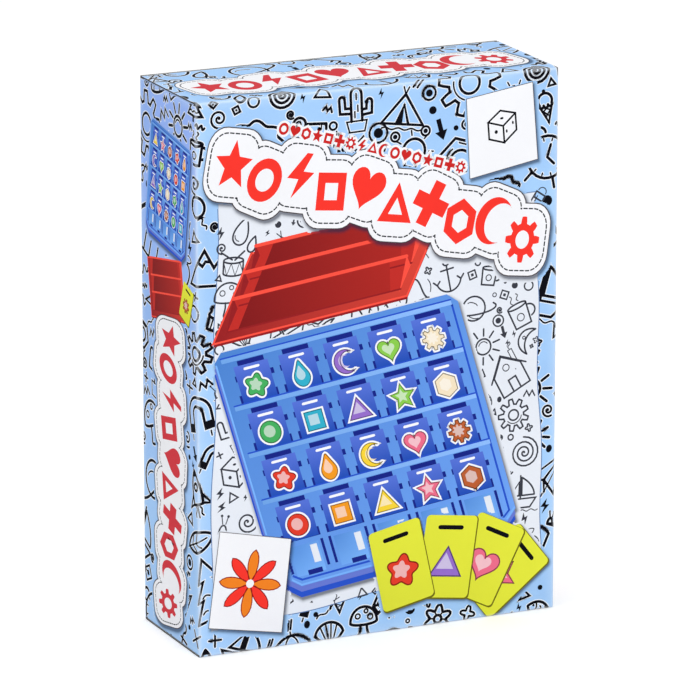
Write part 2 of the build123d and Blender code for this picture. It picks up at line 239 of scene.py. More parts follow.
def noise(tree, coordinates, scale, detail=3.0, roughness=0.5):
    """Factor of a Noise texture; scale counts lumps to the metre."""
    sockets = {"Vector": coordinates, "Scale": scale, "Detail": detail, "Roughness": roughness}
    return node(tree, "ShaderNodeTexNoise", sockets).outputs[0]


def new_group(name, inputs, *outputs):
    """An empty shader group with its inputs {name: default}, a number or a colour, and its outputs.

    Returns its tree, the inputs' sockets, and a function that links values to the outputs by name.
    """
    tree = bpy.data.node_groups.new(name, "ShaderNodeTree")
    for socket, value in inputs.items():
        kind = "NodeSocketColor" if isinstance(value, tuple) else "NodeSocketFloat"
        tree.interface.new_socket(socket, in_out="INPUT", socket_type=kind).default_value = value
    for socket in outputs:
        kind = "NodeSocketColor" if socket == "Color" else "NodeSocketFloat"
        tree.interface.new_socket(socket, in_out="OUTPUT", socket_type=kind)
    given, out = tree.nodes.new("NodeGroupInput").outputs, tree.nodes.new("NodeGroupOutput")

    def give(**values):
        for socket, value in values.items():
            tree.links.new(value, out.inputs[socket])
        return tree

    return tree, given, give


def placed_group(tree, group, **sockets):
    """Outputs of the group's node in a tree, its inputs filled by name."""
    return node(tree, "ShaderNodeGroup", sockets, node_tree=group).outputs


def new_material(name, **plain):
    """A material with these plain sockets on its Principled shader: the material, its tree and the shader."""
    material = bpy.data.materials.new(name)
    material.use_nodes = True
    shader = material.node_tree.nodes["Principled BSDF"]
    for key, value in plain.items():
        shader.inputs[key.replace("_", " ")].default_value = value
    return material, material.node_tree, shader


def finish(tree, shader, finished, strength, depth):
    """Links a group's Color, Roughness and Height to the shader, the last through a bump of that depth."""
    tree.links.new(finished["Color"], shader.inputs["Base Color"])
    if "Roughness" in finished:
        tree.links.new(finished["Roughness"], shader.inputs["Roughness"])
    relief = {"Strength": strength, "Distance": depth, "Height": finished["Height"]}
    tree.links.new(node(tree, "ShaderNodeBump", relief).outputs[0], shader.inputs["Normal"])


def crease_group():
    """1 on the nearest crease, falling smoothly to 0 at the reach from it.

    A crease is where two of the point's distances to the carton's outer faces are small. So the distance to
    the nearest one is the least, over the three pairs of faces, of the larger distance of the pair.
    """
    tree, given, give = new_group("crease_band", {"Reach": 0.002}, "Band")
    axes = node(tree, "ShaderNodeSeparateXYZ", {0: object_place(tree)}).outputs
    from_middle = maths(tree, "ABSOLUTE", maths(tree, "SUBTRACT", axes[2], (low_z + high_z) / 2))
    to_side, to_face, to_end = (maths(tree, "SUBTRACT", half, distance) for half, distance in (
        (half_width, maths(tree, "ABSOLUTE", axes[0])), (half_depth, maths(tree, "ABSOLUTE", axes[1])),
        (WALL_HEIGHT / 2, from_middle)))
    pairs = [maths(tree, "MAXIMUM", *pair)
             for pair in ((to_side, to_face), (to_side, to_end), (to_face, to_end))]
    crease = maths(tree, "MINIMUM", maths(tree, "MINIMUM", *pairs[:2]), pairs[2])
    return give(Band=ranged(tree, crease, 0.0, given["Reach"], 1.0, 0.0, "SMOOTHSTEP"))


crease_band = crease_group()


def near_crease(tree, reach):
    """The crease band of that reach."""
    return placed_group(tree, crease_band, Reach=reach)["Band"]


# Pale band along the creases: rubbed print and a painted highlight of the crease together.
SCUFF_AND_SHEEN_REACH, SCUFF_AND_SHEEN_LUMPS, SCUFF_AND_SHEEN_WHITE = 1.7 * MM, 900.0, (0.90, 0.93, 0.97, 1)
INK_LUMPS, INK_GRAIN, FILM_LUMPS = 22.0, 2600.0, 60.0
FILM_RIPPLES, FILM_FIBRES, FILM_DEPTH = 38.0, 1500.0, 0.4 * MM
FILM_ROUGHNESS = 0.24
COAT, COAT_ROUGHNESS = 0.09, 0.28          # so light a coat keeps dark ink dark where it is seen at a slant


def laminate_group():
    """Film over print: creases wear pale and dull, the paleness also a painted highlight, the film ripples,
    and the ink is a bit uneven.
    """
    tree, given, give = new_group("laminated_print", {"Ink": (1, 1, 1, 1), "Scuff": 0.5},
                                  "Color", "Roughness", "Height")
    place = object_place(tree)
    # Crease band: pale from wear and, as painted highlight, from the light that a crease catches.
    broken = maths(tree, "MULTIPLY_ADD", noise(tree, place, SCUFF_AND_SHEEN_LUMPS), 0.9, 0.25)
    scuff_and_sheen = maths(tree, "MULTIPLY", near_crease(tree, SCUFF_AND_SHEEN_REACH), broken)
    scuff_and_sheen = maths(tree, "MULTIPLY", scuff_and_sheen, given["Scuff"], clamp=True)
    uneven = maths(tree, "MULTIPLY_ADD", noise(tree, place, INK_LUMPS, 4.0), 0.10, 0.95)
    grain = maths(tree, "MULTIPLY_ADD", noise(tree, place, INK_GRAIN, 2.0), 0.05, 0.975)
    shade = darkened(tree, given["Ink"], maths(tree, "MULTIPLY", uneven, grain))
    dull = maths(tree, "MULTIPLY_ADD", noise(tree, place, FILM_LUMPS), 0.08, FILM_ROUGHNESS)
    ripple = maths(tree, "MULTIPLY", noise(tree, place, FILM_RIPPLES, 2.0), 0.55)
    return give(Color=blend_colour(tree, scuff_and_sheen, shade, SCUFF_AND_SHEEN_WHITE),
                Roughness=maths(tree, "MULTIPLY_ADD", scuff_and_sheen, 0.3, dull),
                Height=maths(tree, "MULTIPLY_ADD", noise(tree, place, FILM_FIBRES, 3.0), 0.02, ripple))


laminated_print = laminate_group()


def laminated_material(name, ink_from, scuff_and_sheen):
    """Glossy laminate over the ink colour that ink_from(tree) gives: a thin coat over matt ink."""
    material, tree, shader = new_material(name, Specular_IOR_Level=0.0, Coat_Weight=COAT,
                                          Coat_Roughness=COAT_ROUGHNESS)
    film = placed_group(tree, laminated_print, Ink=ink_from(tree), Scuff=scuff_and_sheen)
    finish(tree, shader, film, 0.25, FILM_DEPTH)
    return material


# The side colour is painted shade on the narrow sides, and the pale crease colour is a painted highlight.
SKY, SKY_SIDE_SHADE = (0.395, 0.640, 0.985, 1), (0.330, 0.490, 0.980, 1)
CLOUD, SKY_CREASE_HIGHLIGHT = (0.300, 0.500, 0.860, 1), (0.62, 0.80, 1.0, 1)
CLOUD_LUMPS, CLOUD_SHARE = 30.0, 0.30
HIGHLIGHT_REACH, HIGHLIGHT_SHARE = 6 * MM, 0.3


def sky_ground(tree):
    """Sky blue, with painted shade that makes it darker and more violet high on the two narrow sides, a
    painted highlight that makes it paler by the creases, and large soft clouds.
    """
    place = object_place(tree)
    axes = node(tree, "ShaderNodeSeparateXYZ", {0: place}).outputs
    # Painted shade: the narrow sides turn darker and more violet, more so towards their top.
    on_side = ranged(tree, maths(tree, "ABSOLUTE", axes[0]), half_width - 1.0 * MM, half_width,
                     course="SMOOTHSTEP")
    side_shade_rise = ranged(tree, axes[2], low_z, high_z, -0.25, 1.15)
    ground = blend_colour(tree, maths(tree, "MULTIPLY", on_side, side_shade_rise, clamp=True), SKY, SKY_SIDE_SHADE)
    cloud = ranged(tree, noise(tree, place, CLOUD_LUMPS, 2.0), 0.42, 0.62, 0.0, CLOUD_SHARE)
    # Painted highlight: pale blue mixed in near every crease.
    painted_highlight = maths(tree, "MULTIPLY", near_crease(tree, HIGHLIGHT_REACH), HIGHLIGHT_SHARE)
    return blend_colour(tree, painted_highlight, blend_colour(tree, cloud, ground, CLOUD), SKY_CREASE_HIGHLIGHT)


FIBRE_LUMPS, FLECK_LUMPS, FIBRE_DEPTH = 1800.0, 700.0, 0.05 * MM


def fibre_group():
    """Bare chipboard: grey pulp with paler and darker fibres drawn out along the grain, and a soft tooth."""
    tree, given, give = new_group("board_fibre", {"Pulp": (0.5, 0.5, 0.5, 1), "Contrast": 0.3},
                                  "Color", "Height")
    place = object_place(tree)
    drawn = node(tree, "ShaderNodeMapping", {"Vector": place, "Scale": (1.0, 1.0, 0.25)}).outputs[0]
    fibres = noise(tree, drawn, FIBRE_LUMPS, 4.0, 0.7)
    both = maths(tree, "ADD", fibres, maths(tree, "MULTIPLY", noise(tree, place, FLECK_LUMPS, 2.0), 0.5))
    shade = maths(tree, "MULTIPLY_ADD", maths(tree, "SUBTRACT", both, 0.75), given["Contrast"], 1.0)
    return give(Color=darkened(tree, given["Pulp"], shade), Height=fibres)


board_fibre = fibre_group()


def fibre_material(name, pulp, contrast):
    """Unprinted board of that pulp colour."""
    material, tree, shader = new_material(name, Roughness=0.85, Specular_IOR_Level=0.1)
    finish(tree, shader, placed_group(tree, board_fibre, Pulp=pulp, Contrast=contrast), 0.3, FIBRE_DEPTH)
    return material


printed_ground = laminated_material("printed_sky_laminate", sky_ground, 0.45)
bare_board = fibre_material("bare_chipboard", (0.50, 0.48, 0.44, 1), 0.5)
# Cut edges are coloured near black, far darker than bare chipboard: painted shade of the gaps between board
# parts.
shaded_cut_edge = fibre_material("cut_board_edge_painted_shade", (0.055, 0.046, 0.044, 1), 0.8)

for name in ("front", "left", "right", "back"):
    panel = panels[name]
    creased = [bool(turn) for turn in panel.turns]
    u, v = np.meshgrid(spaced(panel.size[0], *creased[:2]), spaced(panel.size[1], *creased[2:]))
    board_sheet(f"{name}_wall", panel, u, v, "carton", f"carton_{name}_panel")

# The glue flap runs up the inside of the seam. Its free edge is shorter than its crease.
across = spaced(GLUE_FLAP_WIDTH, True, False)[None, :]
trim = GLUE_TAPER * (0.5 + 0.5 * across / GLUE_FLAP_WIDTH)
along = spaced(side_height, False, False)[:, None] / side_height
board_sheet("seam_flap", panels["glue"], across, trim + along * (side_height - 2 * trim), "carton",
            "carton_glue_flap")

# --- Lids, tuck flaps and dust flaps --------------------------------------------------------------
# Each end shuts with two dust flaps folded in from the sides, a lid hinged on the front panel over them,
# and the lid's tuck flap pushed down inside the back panel. The lid's cut side edges show as dark lines,
# their near-black colour being painted shade of the gap.

LID_LENGTH = 65.0 * MM - SKIN_INSET
LID_SIDE_GAP = 0.25 * MM
TUCK_TURN = math.radians(100)              # the tuck flap leans in by 10 degrees
TUCK_HEIGHT, TUCK_INSET, TUCK_CORNER = 13.8 * MM, 1.2 * MM, 9.0 * MM
TUCK_ROWS, TUCK_COLUMNS = 3 * MM, 0.05     # sample steps down it in metres, and across it as a share
DUST_REACH, DUST_CORNER = 45.0 * MM, 4.0 * MM
DUST_FRONT = (2.5 * MM, 38.5 * MM)         # its front edge from the front, at its crease and at its tip
DUST_BACK = (62.0 * MM, 57.0 * MM)         # its back edge, likewise
lid_end = -half_depth + LID_LENGTH


def rounded_trim(distance, radius):
    """How far a corner of radius R draws the edge in, at d from the end: R - sqrt(R^2 - (R-d)^2)."""
    rest = np.clip(radius - distance, 0, radius)
    return radius - np.sqrt(radius**2 - rest**2)


def flap_rows(length, corner, fine_rows, step=SAMPLE_STEP):
    """Distances down a flap from its crease: even steps, then closer ones round its corners."""
    fine = length - corner * (1 - np.cos(np.linspace(math.pi / 2, 0, fine_rows)))
    return np.concatenate([spaced(length - corner, True, False, step)[:-1], fine])[:, None]


for end, sign, end_z in (("top", 1, high_z), ("bottom", -1, low_z)):
    leaning = math.cos(TUCK_TURN) * Y - sign * math.sin(TUCK_TURN) * Z
    lid = Panel((-sign * half_width, -half_depth, end_z), sign * X, Y, (WALL_WIDTH, LID_LENGTH),
                0, 0, SQUARE_TURN, TUCK_TURN)
    tuck = Panel((-sign * half_width, lid_end, end_z), sign * X, leaning, (WALL_WIDTH, TUCK_HEIGHT),
                 0, 0, TUCK_TURN)
    panels[f"{end}_lid"] = lid
    lid_u = LID_SIDE_GAP + spaced(WALL_WIDTH - 2 * LID_SIDE_GAP, False, False)
    u, v = np.meshgrid(lid_u, spaced(LID_LENGTH, True, True))
    board_sheet(f"{end}_lid_board", lid, u, v, f"{end}_lid", f"{end}_lid")

    down = flap_rows(TUCK_HEIGHT, TUCK_CORNER, 9, TUCK_ROWS)
    inset = TUCK_INSET + rounded_trim(TUCK_HEIGHT - down, TUCK_CORNER)
    share = spaced(1.0, False, False, TUCK_COLUMNS)
    board_sheet(f"{end}_tuck_board", tuck, inset + share * (WALL_WIDTH - 2 * inset), down, f"{end}_tuck_flap",
                f"{end}_tuck_flap")

    for side, way in (("left", 1), ("right", -1)):
        dust = Panel((-way * half_width, sign * way * half_depth, end_z - sign * SIDE_DROP), -sign * way * Y,
                     way * X, (WALL_DEPTH, DUST_REACH), 0, 0, SQUARE_TURN)
        reach = flap_rows(DUST_REACH, DUST_CORNER, 7)
        trim = rounded_trim(DUST_REACH - reach, DUST_CORNER)
        front = np.interp(reach, (0, DUST_REACH), DUST_FRONT) + trim
        back = np.interp(reach, (0, DUST_REACH), DUST_BACK) - trim
        first = WALL_DEPTH - back if sign == way else front
        name = f"{end}_dust_flap_{side}"
        board_sheet(f"{end}_dust_board_{side}", dust, first + np.linspace(0, 1, 8) * (back - front), reach,
                    name, name)

# --- Ink ------------------------------------------------------------------------------------------
# Offset print under the laminate: flat areas and lines of ink, laid over one another in the order they are
# printed. They are drawn in millimetres on the flat blank, S across and T up, then cut and folded with it.

LAYER_RISE = 0.0035                        # millimetres from one layer of ink to the next
MARK_RISE, MARK_HEIGHTS = 0.0005, 5        # marks of one layer take turns at slightly different heights
LINE_RISE, FIRST_DISC, LAST_DISC = 0.9, 1.5, 1.25  # a line's rise along it, and its discs', in such steps
SHARP_BEND = 0.8                           # cosine of the bend from which a corner gets a disc
DISC_STEPS = 11
CUT_MARGIN = 1.4                           # crease radii from a crease within which a mark is cut
CUT_SHARES = (0.25, 0.5, 0.75, 1.0, 1.3)   # where it is cut, in crease radii from the crease
WIDE, HIGH, DEEP = WALL_WIDTH / MM, WALL_HEIGHT / MM, WALL_DEPTH / MM


def printed(red, green, blue):
    """Linear colour of 8-bit values: ((c/255 + 0.055) / 1.055)^2.4."""
    return (*(((value / 255 + 0.055) / 1.055) ** 2.4 for value in (red, green, blue)), 1.0)


def path(*numbers):
    """Straight runs through points, given as x and y by turns."""
    return np.reshape(np.array(numbers, float), (-1, 2))


def arc(x, y, across, high=None, start=0.0, end=360.0, steps=28):
    """Ellipse or part of one: centre (x, y), half sizes, from one angle to the other in degrees."""
    angle = np.radians(np.linspace(start, end, steps))
    return np.stack([x + across * np.cos(angle), y + (across if high is None else high) * np.sin(angle)], 1)


def polygon(x, y, radius, count, turn=90.0):
    """Closed regular polygon, its first corner at the turn in degrees."""
    return arc(x, y, radius, start=turn, end=turn + 360, steps=count + 1)


def curve(*numbers, steps=16):
    """Cubic Bezier curve: its start, the two points that pull on it, and its end."""
    t = np.linspace(0, 1, steps)[:, None]
    start, pull_start, pull_end, end = path(*numbers)
    return (1 - t)**3 * start + 3 * t * (1 - t)**2 * pull_start + 3 * t**2 * (1 - t) * pull_end + t**3 * end


def wave(x0, y0, x1, y1, swings, swing, steps=32):
    """Sine wave of that many swings about the straight line between two points."""
    t = np.linspace(0, 1, steps)[:, None]
    start, end = path(x0, y0, x1, y1)
    side = np.array([y0 - y1, x1 - x0]) / np.linalg.norm(end - start)
    return start + t * (end - start) + swing * np.sin(2 * math.pi * swings * t) * side


def petals(x, y, radius, count, depth, steps=60):
    """Closed outline whose radius swings count times: r = R * (1 + depth*cos(count*angle))."""
    angle = np.linspace(0, 2 * math.pi, steps)
    reach = radius * (1 + depth * np.cos(count * angle))
    return np.stack([x + reach * np.cos(angle), y + reach * np.sin(angle)], 1)


def moved(points, place=(0, 0), size=1.0, turn=0.0):
    """Points scaled, then turned by degrees, then moved."""
    c, s = math.cos(math.radians(turn)), math.sin(math.radians(turn))
    return size * points @ np.array([[c, s], [-s, c]]) + np.array(place)


def fade(start, end, first, last):
    """Ink that runs evenly from a colour at A to another at B: t = (P - A).(B - A) / |B - A|^2, in 0 to 1."""
    start, run = np.array(start, float), np.subtract(end, start)
    first, last = np.array(first), np.array(last)

    def tint(points):
        share = np.clip((points - start) @ run / (run @ run), 0, 1)
        return first + share[:, None] * (last - first)

    return tint


def outside_by(points, outline):
    """How far each point lies outside a closed outline, and 0 inside it.

    The distance to a side from A to B is |P - A - t*(B - A)| with t = (P - A).(B - A) / |B - A|^2, in 0 to 1.
    A point is inside when a ray to its right crosses the sides an odd number of times.
    """
    a, b = outline[:-1], outline[1:]
    run, rest = b - a, points[:, None] - a
    share = np.clip((rest * run).sum(2) / np.maximum((run**2).sum(1), 1e-9), 0, 1)
    away = np.hypot(*np.moveaxis(rest - share[..., None] * run, 2, 0)).min(1)
    x, y = points[:, 0, None], points[:, 1, None]
    level = (a[:, 1] > y) != (b[:, 1] > y)
    crossing = a[:, 0] + run[:, 0] * (y - a[:, 1]) / np.where(level, run[:, 1], 1)
    return np.where((level & (x < crossing)).sum(1) % 2, 0.0, away)


BLACK, WHITE = printed(6, 6, 16), printed(250, 251, 255)
SHADE = np.array(printed(30, 40, 66))      # what a soft shadow darkens to
SHADE_DROP = np.array([0.7, -1.2])         # a shadow falls down and to the right
SHADE_REACH, SHADE_DEPTH, SHADE_CELL = 2.2, 0.75, 0.5
SHADE_LEAST = 0.04                         # strength under which a cell of shadow isn't printed
GROUND_SIZE = 12                           # an area wider than this can be under a shadow


class Blank:
    """The flat blank with its marks: (points, faces, colour, height) each, in millimetres.

    A mark's colour counts as far as its alpha goes, and the blue ground shows through the rest.
    """

    def __init__(self):
        self.marks, self.grounds = [], []

    def add(self, points, faces, colour, layer, rise=0.0):
        """Keeps a mark, its height from its layer, its turn among the layer's marks, and a rise along it."""
        height = layer * LAYER_RISE + len(self.marks) % MARK_HEIGHTS * MARK_RISE + rise
        self.marks.append((points, faces, colour, height + np.zeros(len(points))))

    def area(self, outline, colour, layer, *holes):
        """Flat area of ink inside an outline, with holes, cut into triangles that all face up.

        Its colour is one for all, or a fade.
        """
        tint = colour if callable(colour) else lambda points: np.tile(colour, (len(points), 1))
        rings = [ring[:-1] if np.allclose(ring[0], ring[-1]) else ring for ring in (outline, *holes)]
        points = np.concatenate(rings)
        cut = tessellate_polygon([[Vector((x, y, 0)) for x, y in ring] for ring in rings])
        triangles = np.array(cut).reshape(-1, 3)
        a, b, c = (points[triangles[:, corner]] for corner in range(3))
        turned = (b[:, 0] - a[:, 0]) * (c[:, 1] - a[:, 1]) < (b[:, 1] - a[:, 1]) * (c[:, 0] - a[:, 0])
        triangles[turned] = triangles[turned][:, ::-1]
        self.add(points, triangles.tolist(), tint(points), layer)
        if np.ptp(outline, axis=0).max() > GROUND_SIZE:
            self.grounds.append((layer, outline, tint))

    def shadow(self, outlines, layer):
        """Soft shadow of stickers, on small square cells round their outlines.

        At a distance d from the moved outlines its strength is D*(1 - d/R)^2. It darkens the topmost large
        area under it, or the blue ground.
        """
        fallen = [outline + SHADE_DROP for outline in outlines]
        low = np.min([outline.min(0) for outline in fallen], 0) - SHADE_REACH
        high = np.max([outline.max(0) for outline in fallen], 0) + SHADE_REACH
        x, y = np.meshgrid(*[np.arange(*span, SHADE_CELL) for span in zip(low, high)])
        points = np.stack([x.ravel(), y.ravel()], 1)
        away, covered = np.full(len(points), np.inf), np.zeros(len(points), bool)
        for outline, moved_outline in zip(outlines, fallen):
            near = np.flatnonzero((np.abs(points - moved_outline.mean(0)) < np.ptp(moved_outline, axis=0) / 2
                                   + 3 * SHADE_REACH).all(1))
            away[near] = np.minimum(away[near], outside_by(points[near], moved_outline))
            covered[near] |= outside_by(points[near], outline) == 0
        strength = SHADE_DEPTH * (1 - np.clip(away / SHADE_REACH, 0, 1))**2
        cells = grid_faces(*x.shape)
        shown = (strength[cells].max(1) > SHADE_LEAST) & ~covered[cells].all(1)
        used, cells = np.unique(cells[shown], return_inverse=True)
        points, strength = points[used], strength[used][:, None]
        colours = np.concatenate([np.tile(SHADE[:3], (len(used), 1)), strength], 1)
        for under, outline, tint in sorted(self.grounds, key=lambda ground: ground[0]):
            near = np.flatnonzero(((points > outline.min(0)) & (points < outline.max(0))).all(1))
            if under < layer and len(near):
                inside = near[outside_by(points[near], outline) == 0]
                colour = tint(points[inside])
                colours[inside] = colour + strength[inside] * (SHADE - colour)
        self.add(points, cells.reshape(-1, 4).tolist(), colours, layer)

    def line(self, points, width, colour, layer):
        """Ribbon along a path: each point moves half the width to both sides, along the corner's bisector.

        Where the path turns by A that is 1/cos(A/2) times further, up to twice. Its ends and its sharp
        corners get discs.
        """
        points = points[np.concatenate([[True], np.hypot(*np.diff(points, axis=0).T) > 1e-4])]
        if len(points) < 2:
            return
        steps = np.diff(points, axis=0)
        steps /= np.hypot(*steps.T)[:, None]
        before, after = np.vstack([steps[:1], steps]), np.vstack([steps, steps[-1:]])
        if np.allclose(points[0], points[-1]):
            before[0], after[-1] = steps[-1], steps[0]
        bisector = before + after
        bisector /= np.maximum(np.hypot(*bisector.T), 1e-6)[:, None]
        stretch = 1 / np.maximum((bisector * after).sum(1), 0.5)
        side = np.stack([-bisector[:, 1], bisector[:, 0]], 1) * (stretch * width / 2)[:, None]
        count = len(points)
        rows = np.arange(count - 1)
        faces = np.stack([rows, rows + count, rows + count + 1, rows + 1], 1).tolist()
        rise = MARK_RISE * np.linspace(0, LINE_RISE, count)
        self.add(np.concatenate([points + side, points - side]), faces, colour, layer, np.tile(rise, 2))
        sharp = (before * after).sum(1) < SHARP_BEND
        sharp[[0, -1]] = True
        for (x, y), rise in zip(points[sharp], MARK_RISE * np.linspace(FIRST_DISC, LAST_DISC, sharp.sum())):
            disc = arc(x, y, width / 2, steps=DISC_STEPS)[:-1]
            self.add(disc, [list(range(len(disc)))], colour, layer, rise)

    def flat_mesh(self, name, marks):
        """One flat mesh of some marks, with each mark's colour on its points."""
        starts = np.cumsum([0] + [len(points) for points, *_ in marks])
        points = np.concatenate([points for points, *_ in marks])
        heights = np.concatenate([height for *_, height in marks])
        faces = [[start + i for i in face] for start, mark in zip(starts, marks) for face in mark[1]]
        colours = np.concatenate([np.broadcast_to(mark[2], (len(mark[0]), 4)) for mark in marks])
        mesh = bpy.data.meshes.new(name)
        mesh.from_pydata(np.column_stack([points, heights]).tolist(), [], faces)
        mesh.attributes.new("ink", "FLOAT_COLOR", "POINT").data.foreach_set("color", colours.ravel())
        return mesh

    def lay(self, mesh, body, slot, place, material):
        """Makes a flat mesh a piece: place turns its x, y and height in mm into points of the model."""
        flat = np.empty(3 * len(mesh.vertices))
        mesh.vertices.foreach_get("co", flat)
        mesh.vertices.foreach_set("co", place(*flat.reshape(-1, 3).T).ravel())
        mesh.update()
        mesh.materials.append(material)
        link(bpy.data.objects.new(mesh.name, mesh), body, slot)

    def fold(self, name, body, low, high, across, up):
        """Cuts the marks at a panel's borders and across its arrises, and folds them with it.

        low and high are the panel's corners on the blank. across(S) and up(T) turn metres into its U and V.
        """
        reach = CREASE_RADIUS / MM
        margin = CUT_MARGIN * reach
        inside = [mark for mark in self.marks
                  if (mark[0].max(0) > low).all() and (mark[0].min(0) < high).all()]
        clear = [(points.min(0) > np.add(low, margin)).all()
                 and (points.max(0) < np.subtract(high, margin)).all() for points, *_ in inside]
        work = bmesh.new()
        work.from_mesh(self.flat_mesh(name, [mark for mark, free in zip(inside, clear) if not free]))

        def cut(spot, normal, clear_outer=False):
            bmesh.ops.bisect_plane(work, geom=[*work.verts, *work.edges, *work.faces], plane_no=normal,
                                   plane_co=spot * np.abs(normal), clear_outer=clear_outer)

        for axis, normal in enumerate((X, Y)):
            for border, sign in ((low[axis], -1), (high[axis], 1)):
                cut(border, sign * normal, clear_outer=True)
                for share in CUT_SHARES:
                    cut(border - sign * share * reach, normal)
        mesh = self.flat_mesh(f"print_{name}", [mark for mark, free in zip(inside, clear) if free])
        work.from_mesh(mesh)
        work.to_mesh(mesh)
        work.free()
        mesh.polygons.foreach_set("use_smooth", np.ones(len(mesh.polygons), bool))
        panel = panels[name]
        self.lay(mesh, body, "printed_board",
                 lambda s, t, height: panel.place(across(s * MM), up(t * MM), -height * MM), printed_ink)


def ink_colour(tree):
    """The colour that each mark carries, over the blue ground as far as its alpha is under 1."""
    carried = node(tree, "ShaderNodeAttribute", attribute_name="ink").outputs
    return blend_colour(tree, carried["Alpha"], sky_ground(tree), carried["Color"])


printed_ink = laminated_material("printed_ink", ink_colour, 0.45)
blank = Blank()

# --- Doodles --------------------------------------------------------------------------------------
# The ground is covered with line drawings of everyday things, black with a white edge. Each is drawn once
# in a box from -100 to 100 with bold lines, fine lines and solid spots, and is then strewn over the blank.

PALE = printed(238, 245, 255)
HALO = 0.42                                # pale edge round a line on the blue ground


def doodle(bold, fine=(), solid=()):
    """One drawing, brought to a box from -1 to 1: its bold lines, fine lines and solid areas."""
    return {"bold": [points / 100 for points in bold], "fine": [points / 100 for points in fine],
            "solid": [points / 100 for points in solid]}


def mirrored(*runs):
    """The runs, and then the same to the other side of x = 0."""
    return [*runs, *(run * (-1, 1) for run in runs)]


def rays(x, y, inner, outer, count, turn=0.0):
    """Short lines outwards from a ring."""
    angles = np.radians(turn + np.arange(count) * 360 / count)
    return [np.array([[x + r * math.cos(a), y + r * math.sin(a)] for r in (inner, outer)]) for a in angles]


def cog(radius, depth, teeth):
    """Closed gear outline: the radius steps out and in by the depth, twice to a tooth, with sloped flanks."""
    angle = np.linspace(0, 2 * math.pi, teeth * 12 + 1)
    reach = radius + depth * np.clip(2.2 * np.cos(teeth * angle), -1, 1)
    return np.stack([reach * np.cos(angle), reach * np.sin(angle)], 1)


def spiral(radius, turns, steps=60):
    """Archimedes' spiral: the radius grows evenly with the angle."""
    share = np.linspace(0, 1, steps)
    angle = 2 * math.pi * turns * share
    return radius * share[:, None] * np.stack([np.cos(angle), np.sin(angle)], 1)


